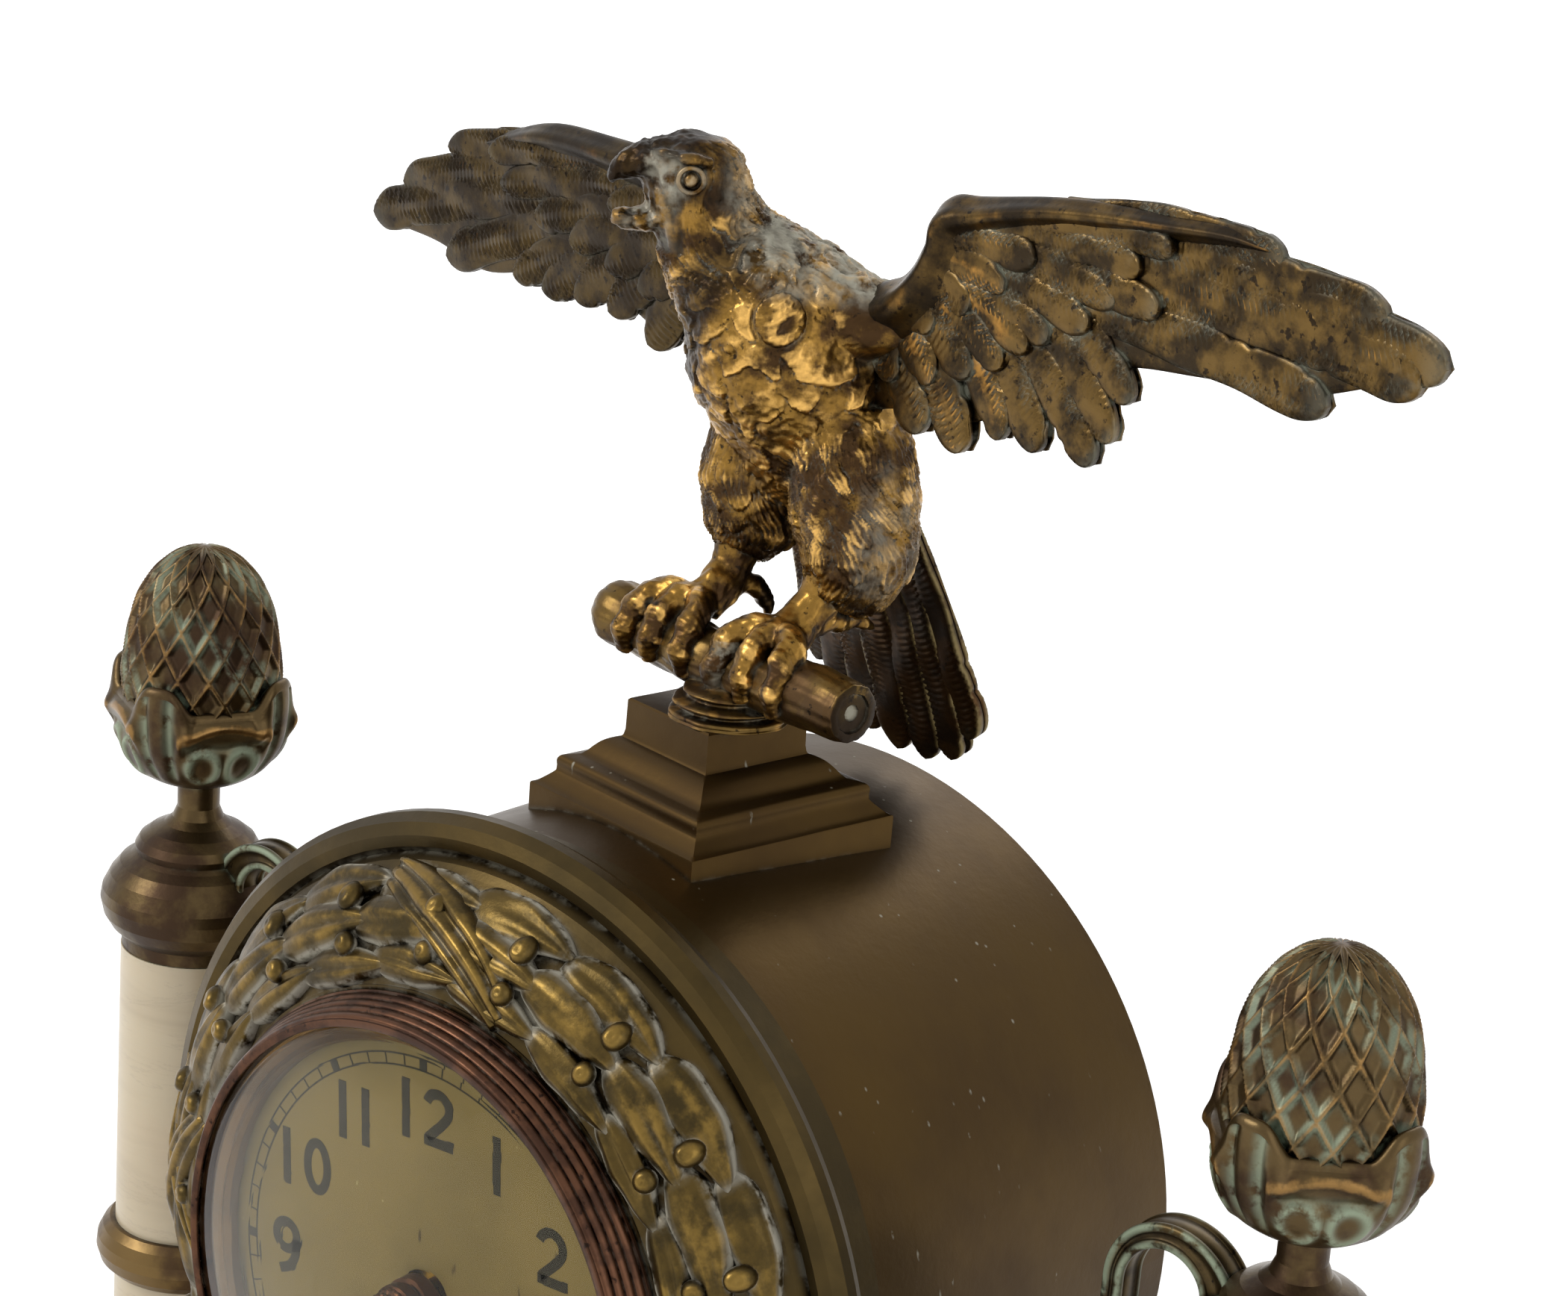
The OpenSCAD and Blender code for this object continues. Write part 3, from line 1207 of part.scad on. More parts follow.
color([0.8, 0.66, 0.35]) front_plate();
color([0.8, 0.66, 0.35]) back_plate();
color([0.78, 0.62, 0.3]) pillars();
color([0.82, 0.68, 0.36]) barrel();
color([0.55, 0.55, 0.6]) winding_arbor();
color([0.5, 0.5, 0.55]) click();
color([0.82, 0.7, 0.4]) centre_wheel();
color([0.82, 0.7, 0.4]) third_wheel();
color([0.84, 0.72, 0.42]) escape_wheel();
color([0.5, 0.52, 0.58]) anchor();
color([0.78, 0.64, 0.34]) suspension_cock();
color([0.6, 0.62, 0.66]) suspension_spring();
color([0.6, 0.6, 0.64]) pendulum_rod();
color([0.75, 0.6, 0.3]) pendulum_bob();
color([0.75, 0.6, 0.3]) rating_nut();
color([0.55, 0.55, 0.6]) cannon_pinion();
color([0.82, 0.7, 0.4]) minute_wheel();
color([0.82, 0.7, 0.4]) hour_wheel();
color([0.25, 0.2, 0.15]) hour_hand();
color([0.25, 0.2, 0.15]) minute_hand();
color([0.6, 0.45, 0.25]) hand_nut();
color([0.5, 0.4, 0.2]) pedestal();
color([0.75, 0.58, 0.25]) mound();
color([0.6, 0.48, 0.25]) branch();
color([0.78, 0.6, 0.25]) eagle();
color([0.6, 0.46, 0.2]) wing_left();
color([0.72, 0.56, 0.25]) wing_right();
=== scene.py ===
import bpy
import numpy as np
from bpy.props import FloatProperty, FloatVectorProperty, IntProperty, PointerProperty
from mathutils import Matrix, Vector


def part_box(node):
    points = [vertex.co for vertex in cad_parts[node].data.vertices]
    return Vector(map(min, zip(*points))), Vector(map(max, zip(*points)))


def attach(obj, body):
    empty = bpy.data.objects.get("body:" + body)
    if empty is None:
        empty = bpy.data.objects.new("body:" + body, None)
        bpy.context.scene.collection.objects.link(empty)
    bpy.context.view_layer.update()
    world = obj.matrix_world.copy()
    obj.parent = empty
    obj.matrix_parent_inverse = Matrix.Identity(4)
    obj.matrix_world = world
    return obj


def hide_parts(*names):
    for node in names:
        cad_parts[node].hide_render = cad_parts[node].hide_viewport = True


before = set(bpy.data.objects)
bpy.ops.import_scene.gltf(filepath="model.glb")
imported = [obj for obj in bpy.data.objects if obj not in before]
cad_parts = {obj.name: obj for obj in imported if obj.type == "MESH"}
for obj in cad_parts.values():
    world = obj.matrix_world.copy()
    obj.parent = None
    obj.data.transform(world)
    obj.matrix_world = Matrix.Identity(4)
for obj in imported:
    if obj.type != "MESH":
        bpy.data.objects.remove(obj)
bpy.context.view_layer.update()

bl_info = {
    "name": "Portico clock dressing",
    "version": (1, 0, 0),
    "blender": (4, 5, 0),
    "location": "3D View > Sidebar > Clock",
    "description": "Castings, wreath, eagle and finishes of a portico clock around its packed model",
    "category": "Object",
}

# The frame's boxes give every place, in millimetres; a length in this file is in millimetres too
MM = 0.001


def box_mm(node):
    """Lowest and highest corner of a CAD node at rest, in millimetres."""
    return tuple(np.array(corner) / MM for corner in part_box(node))


AXIS_Z = float((box_mm("dial")[0][2] + box_mm("dial")[1][2]) / 2)
DIAL_F = float(-box_mm("dial")[0][1])
BEZEL_F = float(-box_mm("bezel")[0][1])
FINIAL_LOW, FINIAL_TOP = box_mm("finial_right")
COLUMN_X = float((FINIAL_LOW[0] + FINIAL_TOP[0]) / 2)


def linear(code):
    """Linear colour with alpha from an sRGB hex value."""
    parts = [int(code[k:k + 2], 16) / 255 for k in (1, 3, 5)]
    return tuple(p / 12.92 if p <= 0.04045 else ((p + 0.055) / 1.055) ** 2.4 for p in parts) + (1.0,)


def shade(label, about, code):
    """A colour that a user can change."""
    return FloatVectorProperty(name=label, description=about, subtype="COLOR", size=4, min=0, max=1,
                               default=linear(code))


def size(label, about, value, low, high):
    """A measure that a user can change."""
    return FloatProperty(name=label, description=about, default=value, min=low, max=high)


class ClockSizes(bpy.types.PropertyGroup):
    """Sizes of the castings in millimetres."""
    wreath_units: IntProperty(name="Wreath units", description="Groups of three leaves round the wreath",
                              default=20, min=12, max=28)
    berry: size("Berry", "Radius of a berry of the wreath", 1.9, 1.2, 2.4)
    reeds: IntProperty(name="Reeds", description="Reeds of the copper bezel", default=4, min=3, max=7)
    lattice: IntProperty(name="Cone lattice", description="Spiral ridges each way round a pine cone",
                         default=16, min=8, max=20)
    ridge: size("Cone ridge", "Height of the ridges between the scales of a pine cone", 0.85, 0.2, 1.2)
    numeral: size("Numeral", "Height of the dial's numbers", 9.2, 7.0, 11.0)
    stroke: size("Stroke", "Width of the numbers' strokes", 1.6, 1.0, 2.2)
    dial_turn: size("Dial turn", "Degrees that the dial has slipped round", -3.9, -8.0, 8.0)


class ClockColours(bpy.types.PropertyGroup):
    """Colours of the finishes, as they look in plain light."""
    brass: shade("Brass", "Old brown-olive brass of the drum", "#4a3716")
    brass_dark: shade("Dark brass", "Tarnish on the brass", "#3b2a14")
    gilt: shade("Gilding", "Gold left on the castings", "#84632b")
    # Gold of rubbed gilding, and a painted highlight where it lies on the crests
    gilt_bright: shade("Rubbed gilding", "Gold where hands have rubbed it", "#e0b060")
    # Patina of the hollows, which the crevice mask also lays on as painted shade
    patina: shade("Patina", "Brown-black of hollows in the bronze", "#1a120a")
    copper: shade("Copper", "Copper of the bezel and of worn gilding", "#573a29")
    residue: shade("Residue", "Dried polish in joints and hollows", "#a8a493")
    # Verdigris crust; on the strap's beads its pale also stands as a painted highlight
    verdigris: shade("Verdigris", "Pale green crust on the bronze", "#9fae94")
    dial: shade("Dial", "Aged silvering of the dial", "#857548")
    ink: shade("Ink", "Paint of the numbers", "#1c1a17")
    marble: shade("Marble", "Cream ground of the marble", "#c8b99d")
    vein: shade("Vein", "Grey-brown bands of the marble", "#ab9a80")


def sizes():
    return bpy.context.scene.clock_sizes


def colours():
    return bpy.context.scene.clock_colours


# Meshes

def smooth(x, low, high):
    """Smoothstep: 0 below low, 1 above high, a cubic between."""
    t = np.clip((x - low) / (high - low), 0, 1)
    return t * t * (3 - 2 * t)


def unit(v):
    """Vectors at length 1."""
    return v / np.maximum(np.linalg.norm(v, axis=-1, keepdims=True), 1e-9)


def circle(count):
    """Angles at even steps round a full turn."""
    return np.linspace(0, 2 * np.pi, count, endpoint=False)


def resample(path, count):
    """Catmull-Rom curve through the points of a path, at count even steps of the point number."""
    p = np.asarray(path, float)
    p = np.concatenate([2 * p[:1] - p[1:2], p, 2 * p[-1:] - p[-2:-1]])
    t = np.linspace(0, len(p) - 3, count)
    k = np.minimum(t.astype(int), len(p) - 4)
    s = (t - k)[:, None]
    a, b, c, d = p[k], p[k + 1], p[k + 2], p[k + 3]
    return 0.5 * (2 * b + (c - a) * s + (2 * a - 5 * b + 4 * c - d) * s ** 2 + (3 * b - a - 3 * c + d) * s ** 3)


def skin(points, ring=False, **fields):
    """Closed surface over a grid of points (along, round, xyz). Round it always joins up; along it either joins
    up too, as a ring, or each end is closed with a fan to its middle. Fields are values per point."""
    points = np.asarray(points, float)
    along, round_ = points.shape[:2]
    index = np.arange(along * round_).reshape(along, round_)
    near, far = (index, np.roll(index, -1, 0)) if ring else (index[:-1], index[1:])
    quads = np.stack([near, np.roll(near, -1, 1), np.roll(far, -1, 1), far], -1).reshape(-1, 4)
    verts, tris = points.reshape(-1, 3), np.zeros((0, 3), int)
    values = {name: np.broadcast_to(value, (along, round_)).reshape(-1) for name, value in fields.items()}
    if not ring:
        total = len(verts)
        verts = np.concatenate([verts, [points[0].mean(0), points[-1].mean(0)]])
        first = np.stack([np.roll(index[0], -1), index[0], np.full(round_, total)], -1)
        last = np.stack([index[-1], np.roll(index[-1], -1), np.full(round_, total + 1)], -1)
        tris = np.concatenate([first, last])
        ends = {name: np.broadcast_to(value, (along, round_)) for name, value in fields.items()}
        values = {name: np.concatenate([value, [ends[name][0].mean(), ends[name][-1].mean()]])
                  for name, value in values.items()}
    halves = np.concatenate([quads[:, [0, 1, 2]], quads[:, [0, 2, 3]], tris])
    a, b, c = (verts[halves[:, k]] for k in range(3))
    if np.einsum("ij,ij->i", a, np.cross(b, c)).sum() < 0:
        quads, tris = quads[:, ::-1], tris[:, ::-1]
    return {"verts": verts, "quads": quads, "tris": tris, "fields": values}


def piece(name, shells, material, body, replaces=(), sharp=None):
    """One mesh object of many closed shells, at the origin, with its place in its mesh. Edges sharper than
    `sharp` degrees stay crisp. It rides on a body and takes the finish it is given."""
    offsets = np.cumsum([0] + [len(s["verts"]) for s in shells])
    verts = np.concatenate([s["verts"] for s in shells]) * MM
    quads = np.concatenate([s["quads"] + o for s, o in zip(shells, offsets)])
    tris = np.concatenate([s["tris"] + o for s, o in zip(shells, offsets)])
    mesh = bpy.data.meshes.new(name)
    mesh.vertices.add(len(verts))
    mesh.vertices.foreach_set("co", verts.astype(np.float32).ravel())
    mesh.loops.add(quads.size + tris.size)
    mesh.loops.foreach_set("vertex_index", np.concatenate([quads.ravel(), tris.ravel()]).astype(np.int32))
    mesh.polygons.add(len(quads) + len(tris))
    starts = np.concatenate([np.arange(len(quads)) * 4, quads.size + np.arange(len(tris)) * 3])
    mesh.polygons.foreach_set("loop_start", starts.astype(np.int32))
    mesh.update(calc_edges=True)
    mesh.shade_smooth()
    for field in sorted({key for s in shells for key in s["fields"]}):
        values = np.concatenate([s["fields"].get(field, np.zeros(len(s["verts"]))) for s in shells])
        mesh.attributes.new(field, "FLOAT", "POINT").data.foreach_set("value", values.astype(np.float32))
    if sharp is not None:
        crease(mesh, sharp)
    mesh.materials.append(material)
    made = bpy.data.objects.new(name, mesh)
    bpy.context.scene.collection.objects.link(made)
    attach(made, body)
    if replaces:
        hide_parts(*replaces)


def crease(mesh, degrees):
    """Marks an edge sharp where the normals of its two faces part by more than the angle."""
    count = len(mesh.loops)
    edge = np.empty(count, np.int32)
    mesh.loops.foreach_get("edge_index", edge)
    total = np.empty(len(mesh.polygons), np.int32)
    mesh.polygons.foreach_get("loop_total", total)
    normal = np.empty(len(mesh.polygons) * 3, np.float32)
    mesh.polygons.foreach_get("normal", normal)
    face = np.repeat(np.arange(len(total)), total)
    order = np.argsort(edge, kind="stable")
    pair = order[:count // 2 * 2].reshape(-1, 2)
    n = normal.reshape(-1, 3)[face[pair]]
    sharp = np.zeros(len(mesh.edges), bool)
    sharp[edge[pair[:, 0]]] = (n[:, 0] * n[:, 1]).sum(1) < np.cos(np.radians(degrees))
    mesh.edges.foreach_set("use_edge_sharp", sharp)


def at_dial(x, up, f):
    """Points of the frame from right, up and forward distances measured from the dial's axis."""
    x, up, f = np.broadcast_arrays(x, up, f)
    return np.stack([x, -f, up + AXIS_Z], -1)


def turned_dial(profile, steps):
    """A closed profile (radius, forward) carried round the dial's axis."""
    p = np.asarray(profile, float)
    a = circle(steps)[:, None]
    return skin(at_dial(p[:, 0] * np.sin(a), p[:, 0] * np.cos(a), p[:, 1]), ring=True)


def ribbon(path, width, low, high, closed=False):
    """Flat strip of a given width along a path on the dial, from forward distance low to high: at each point
    half the width goes to either side along the path's normal."""
    p = np.asarray(path, float)
    ahead = np.roll(p, -1, 0) - np.roll(p, 1, 0)
    if not closed:
        ahead[0], ahead[-1] = p[1] - p[0], p[-1] - p[-2]
    side = unit(np.stack([-ahead[:, 1], ahead[:, 0]], -1)) * np.reshape(width, (-1, 1)) / 2
    a, b = p + side, p - side
    rows = [at_dial(q[:, 0], q[:, 1], f) for q, f in ((a, low), (a, high), (b, high), (b, low))]
    return skin(np.stack(rows, 1), ring=closed)


# Materials

def add(tree, kind, inputs=None, **settings):
    """Adds one node; inputs maps socket names or numbers to values or to sockets to link from."""
    made = tree.nodes.new(kind)
    for key, value in settings.items():
        setattr(made, key, value)
    for key, value in (inputs or {}).items():
        socket = made.inputs[key]
        if isinstance(value, bpy.types.NodeSocket):
            tree.links.new(value, socket)
        else:
            socket.default_value = value
    return made


def start_material(name):
    """New node material: its tree, its object coordinates and its surface shader."""
    made = bpy.data.materials.new(name)
    made.use_nodes = True
    tree = made.node_tree
    tree.nodes.clear()
    place = add(tree, "ShaderNodeTexCoord").outputs["Object"]
    surface = add(tree, "ShaderNodeBsdfPrincipled")
    add(tree, "ShaderNodeOutputMaterial", {"Surface": surface.outputs[0]})
    return made, tree, place, surface


def mask(tree, *ramps):
    """Share from 0 to 1 of a surface. Each ramp is a value, where it starts, where it is full and, if need be, its
    most; the ramps are multiplied."""
    total = None
    for value, low, high, *most in ramps:
        ramp = add(tree, "ShaderNodeMapRange", {"Value": value, "From Min": low, "From Max": high,
                                                "To Max": most[0] if most else 1.0},
                   interpolation_type="SMOOTHSTEP").outputs[0]
        total = ramp if total is None else add(tree, "ShaderNodeMath", {0: total, 1: ramp},
                                               operation="MULTIPLY").outputs[0]
    return total


def aged_metal(name, ground, tarnish, hollow, residue, rub_and_highlight=None, metal=0.85, rough=0.42, blotch=16.0, speck=0.0,
               scratch=0.0, crevice=1.4, chalk=0.6, grain=0.05, fields=(), cloudy=(0.42, 0.62)):
    """Old metal with its finish half gone. Cloudy tarnish a blotch wide; dark dirt and painted shade and then pale
    dried polish where the surface closes in on itself; dark specks; short pale dashes of handling; rubbed high
    places, also a painted highlight."""
    made, tree, place, surface = start_material(name)
    cloud = add(tree, "ShaderNodeTexNoise", {"Vector": place, "Scale": 1000 / blotch, "Detail": 5.0,
                                             "Roughness": 0.62}).outputs[0]
    fine = add(tree, "ShaderNodeTexNoise", {"Vector": place, "Scale": 1000 / 1.6, "Detail": 4.0,
                                            "Roughness": 0.6}).outputs[0]
    patch = add(tree, "ShaderNodeTexNoise", {"Vector": place, "Scale": 1000 / 5.0, "Detail": 4.0,
                                             "Roughness": 0.65}).outputs[0]
    closed = add(tree, "ShaderNodeAmbientOcclusion", {"Distance": crevice * MM}, samples=6).outputs["AO"]
    shut = add(tree, "ShaderNodeMath", {0: 1.0, 1: closed}, operation="SUBTRACT").outputs[0]
    layers = [(mask(tree, (cloud, *cloudy)), tarnish)]
    if speck:
        layers.append((mask(tree, (fine, 0.66 - 0.16 * speck, 0.74 - 0.14 * speck, 0.9)), hollow))
    # Dark in the crevices that the occlusion finds: dark dirt and painted shade
    layers.append((mask(tree, (shut, 0.12, 0.6, 0.92)), hollow))
    # Rubbed high places: worn-through gilding, and a painted highlight on the crests
    if rub_and_highlight:
        high = add(tree, "ShaderNodeAttribute", attribute_name="relief").outputs["Fac"]
        worn = add(tree, "ShaderNodeMath", {0: high, 1: patch}, operation="MULTIPLY").outputs[0]
        layers.append((mask(tree, (worn, 0.28, 0.5, 0.85)), rub_and_highlight))
    # The dark attribute: dark marks of each piece; on the eagle's body it also holds painted shade in the hollows
    if "dark" in fields:
        darkened = add(tree, "ShaderNodeAttribute", attribute_name="dark").outputs["Fac"]
        wide = add(tree, "ShaderNodeMath", {0: darkened, 1: mask(tree, (cloud, 0.26, 0.46))}, operation="MULTIPLY")
        layers.append((mask(tree, (wide.outputs[0], 0.1, 0.75, 0.85)), hollow))
    pale = mask(tree, (shut, 0.22, 0.62), (patch, 0.44, 0.6, chalk))
    if "pale" in fields:
        marked = add(tree, "ShaderNodeAttribute", attribute_name="pale").outputs["Fac"]
        kept = add(tree, "ShaderNodeMath", {0: marked, 1: mask(tree, (patch, 0.36, 0.54))}, operation="MULTIPLY")
        pale = add(tree, "ShaderNodeMath", {0: pale, 1: kept.outputs[0]}, operation="MAXIMUM").outputs[0]
    if scratch:
        squeezed = add(tree, "ShaderNodeMapping", {"Vector": place, "Rotation": (0.4, 0.2, 0.7),
                                                   "Scale": (1.0, 1.0, 0.12)}).outputs[0]
        dashes = add(tree, "ShaderNodeTexVoronoi", {"Vector": squeezed, "Scale": 1000 / 2.6}).outputs[0]
        thin = mask(tree, (dashes, 0.13, 0.05), (patch, 0.5, 0.6, scratch))
        pale = add(tree, "ShaderNodeMath", {0: pale, 1: thin}, operation="MAXIMUM").outputs[0]
    layers.append((pale, residue))
    colour = ground
    for share, over in layers:
        colour = add(tree, "ShaderNodeMix", {0: share, 6: colour, 7: over}, data_type="RGBA").outputs[2]
    tree.links.new(colour, surface.inputs["Base Color"])
    bare = add(tree, "ShaderNodeMath", {0: pale, 1: -metal, 2: metal}, operation="MULTIPLY_ADD").outputs[0]
    tree.links.new(bare, surface.inputs["Metallic"])
    dull = add(tree, "ShaderNodeMath", {0: mask(tree, (cloud, 0.3, 0.7, 0.16)), 1: rough - 0.08}, operation="ADD")
    duller = add(tree, "ShaderNodeMath", {0: pale, 1: 0.35, 2: dull.outputs[0]}, operation="MULTIPLY_ADD")
    tree.links.new(duller.outputs[0], surface.inputs["Roughness"])
    height = add(tree, "ShaderNodeMath", {0: fine, 1: patch}, operation="ADD").outputs[0]
    bump = add(tree, "ShaderNodeBump", {"Height": height, "Strength": 0.6, "Distance": grain * MM})
    tree.links.new(bump.outputs[0], surface.inputs["Normal"])
    return made


def plain_metal(name, ground, tarnish, metal=1.0, rough=0.3, blotch=8.0, grain=0.02, brushed=None):
    """Machined metal: faint clouds of tarnish and fine turning lines or grain."""
    made, tree, place, surface = start_material(name)
    cloud = add(tree, "ShaderNodeTexNoise", {"Vector": place, "Scale": 1000 / blotch, "Detail": 4.0}).outputs[0]
    squeeze = add(tree, "ShaderNodeMapping", {"Vector": place, "Scale": brushed or (1.0, 1.0, 1.0)}).outputs[0]
    fine = add(tree, "ShaderNodeTexNoise", {"Vector": squeeze, "Scale": 1000 / 0.6, "Detail": 3.0}).outputs[0]
    colour = add(tree, "ShaderNodeMix", {0: mask(tree, (cloud, 0.4, 0.68, 0.8)), 6: ground, 7: tarnish},
                 data_type="RGBA").outputs[2]
    tree.links.new(colour, surface.inputs["Base Color"])
    surface.inputs["Metallic"].default_value = metal
    dull = add(tree, "ShaderNodeMath", {0: mask(tree, (fine, 0.2, 0.8, 0.2)), 1: rough - 0.1}, operation="ADD")
    tree.links.new(dull.outputs[0], surface.inputs["Roughness"])
    bump = add(tree, "ShaderNodeBump", {"Height": fine, "Strength": 0.4, "Distance": grain * MM})
    tree.links.new(bump.outputs[0], surface.inputs["Normal"])
    return made


def banded_marble(name, ground, vein):
    """Polished alabaster-like marble: waxy, with soft level bands a few millimetres high and fine veins."""
    made, tree, place, surface = start_material(name)
    level = add(tree, "ShaderNodeMapping", {"Vector": place, "Scale": (0.25, 0.25, 1.6)}).outputs[0]
    bands = add(tree, "ShaderNodeTexNoise", {"Vector": level, "Scale": 1000 / 14.0, "Detail": 5.0,
                                             "Roughness": 0.55, "Distortion": 0.6}).outputs[0]
    thin = add(tree, "ShaderNodeTexNoise", {"Vector": level, "Scale": 1000 / 30.0, "Detail": 8.0,
                                            "Roughness": 0.7, "Distortion": 1.4}).outputs[0]
    ridge = add(tree, "ShaderNodeMath", {0: add(tree, "ShaderNodeMath", {0: thin, 1: 0.5}, operation="SUBTRACT")
                .outputs[0]}, operation="ABSOLUTE").outputs[0]
    cloudy = add(tree, "ShaderNodeMix", {0: mask(tree, (bands, 0.4, 0.72, 0.45)), 6: ground, 7: vein},
                 data_type="RGBA").outputs[2]
    warm = add(tree, "ShaderNodeTexNoise", {"Vector": place, "Scale": 1000 / 45.0, "Detail": 2.0}).outputs[0]
    warmer = add(tree, "ShaderNodeMix", {0: mask(tree, (warm, 0.42, 0.66, 0.35)), 6: cloudy,
                                         7: linear("#c9a98c")}, data_type="RGBA").outputs[2]
    colour = add(tree, "ShaderNodeMix", {0: mask(tree, (ridge, 0.012, 0.003, 0.14)), 6: warmer,
                                         7: linear("#8d7b6c")}, data_type="RGBA").outputs[2]
    tree.links.new(colour, surface.inputs["Base Color"])
    surface.inputs["Roughness"].default_value = 0.32
    surface.inputs["Subsurface Weight"].default_value = 0.25
    surface.inputs["Subsurface Radius"].default_value = (3 * MM, 2.2 * MM, 1.6 * MM)
    surface.inputs["Subsurface Scale"].default_value = 1.0
    pits = add(tree, "ShaderNodeTexNoise", {"Vector": place, "Scale": 1000 / 0.9, "Detail": 3.0}).outputs[0]
    bump = add(tree, "ShaderNodeBump", {"Height": pits, "Strength": 0.2, "Distance": 0.02 * MM})
    tree.links.new(bump.outputs[0], surface.inputs["Normal"])
    return made


def aged_dial(name, ground):
    """Lacquered silvering gone olive: matt, with faint clouds, foxing, dark nicks and pale specks."""
    made, tree, place, surface = start_material(name)
    cloud = add(tree, "ShaderNodeTexNoise", {"Vector": place, "Scale": 1000 / 22.0, "Detail": 4.0}).outputs[0]
    soft = add(tree, "ShaderNodeMix", {0: mask(tree, (cloud, 0.35, 0.7, 0.6)), 6: ground, 7: linear("#6b5f38")},
               data_type="RGBA").outputs[2]
    fine = add(tree, "ShaderNodeTexNoise", {"Vector": place, "Scale": 1000 / 1.1, "Detail": 5.0,
                                            "Roughness": 0.7}).outputs[0]
    foxed = add(tree, "ShaderNodeMix", {0: mask(tree, (fine, 0.62, 0.74, 0.25)), 6: soft, 7: linear("#5a4c2c")},
                data_type="RGBA").outputs[2]
    tilt = add(tree, "ShaderNodeMapping", {"Vector": place, "Rotation": (0.0, 0.5, 0.0),
                                           "Scale": (1.0, 1.0, 0.3)}).outputs[0]
    nicks = add(tree, "ShaderNodeTexVoronoi", {"Vector": tilt, "Scale": 1000 / 5.5}).outputs[0]
    nicked = add(tree, "ShaderNodeMix", {0: mask(tree, (nicks, 0.085, 0.04, 0.8)), 6: foxed, 7: linear("#3c311c")},
                 data_type="RGBA").outputs[2]
    light = add(tree, "ShaderNodeTexVoronoi", {"Vector": place, "Scale": 1000 / 4.2}).outputs[0]
    colour = add(tree, "ShaderNodeMix", {0: mask(tree, (light, 0.075, 0.03, 0.6)), 6: nicked,
                                         7: linear("#b5aa80")}, data_type="RGBA").outputs[2]
    tree.links.new(colour, surface.inputs["Base Color"])
    surface.inputs["Metallic"].default_value = 0.1
    surface.inputs["Roughness"].default_value = 0.62
    bump = add(tree, "ShaderNodeBump", {"Height": fine, "Strength": 0.1, "Distance": 0.01 * MM})
    tree.links.new(bump.outputs[0], surface.inputs["Normal"])
    return made


def clear_glass(name):
    """Old window glass: clear, a little yellow, with a faint shine, because the room it mirrors is dark."""
    made, tree, place, surface = start_material(name)
    dust = add(tree, "ShaderNodeTexNoise", {"Vector": place, "Scale": 1000 / 6.0, "Detail": 6.0}).outputs[0]
    tree.links.new(mask(tree, (dust, 0.6, 0.8, 0.012)), surface.inputs["Roughness"])
    surface.inputs["Specular IOR Level"].default_value = 0.1
    surface.inputs["Specular Tint"].default_value = (0.2, 0.2, 0.2, 1.0)
    surface.inputs["Base Color"].default_value = linear("#f6f2e2")
    surface.inputs["IOR"].default_value = 1.35
    surface.inputs["Transmission Weight"].default_value = 1.0
    return made


def ink(name, ground):
    """Matt black paint of the numbers, a little worn."""
    made, tree, place, surface = start_material(name)
    worn = add(tree, "ShaderNodeTexNoise", {"Vector": place, "Scale": 1000 / 1.5, "Detail": 5.0}).outputs[0]
    colour = add(tree, "ShaderNodeMix", {0: mask(tree, (worn, 0.5, 0.75, 0.4)), 6: ground, 7: linear("#4a4336")},
                 data_type="RGBA").outputs[2]
    tree.links.new(colour, surface.inputs["Base Color"])
    surface.inputs["Roughness"].default_value = 0.6
    return made
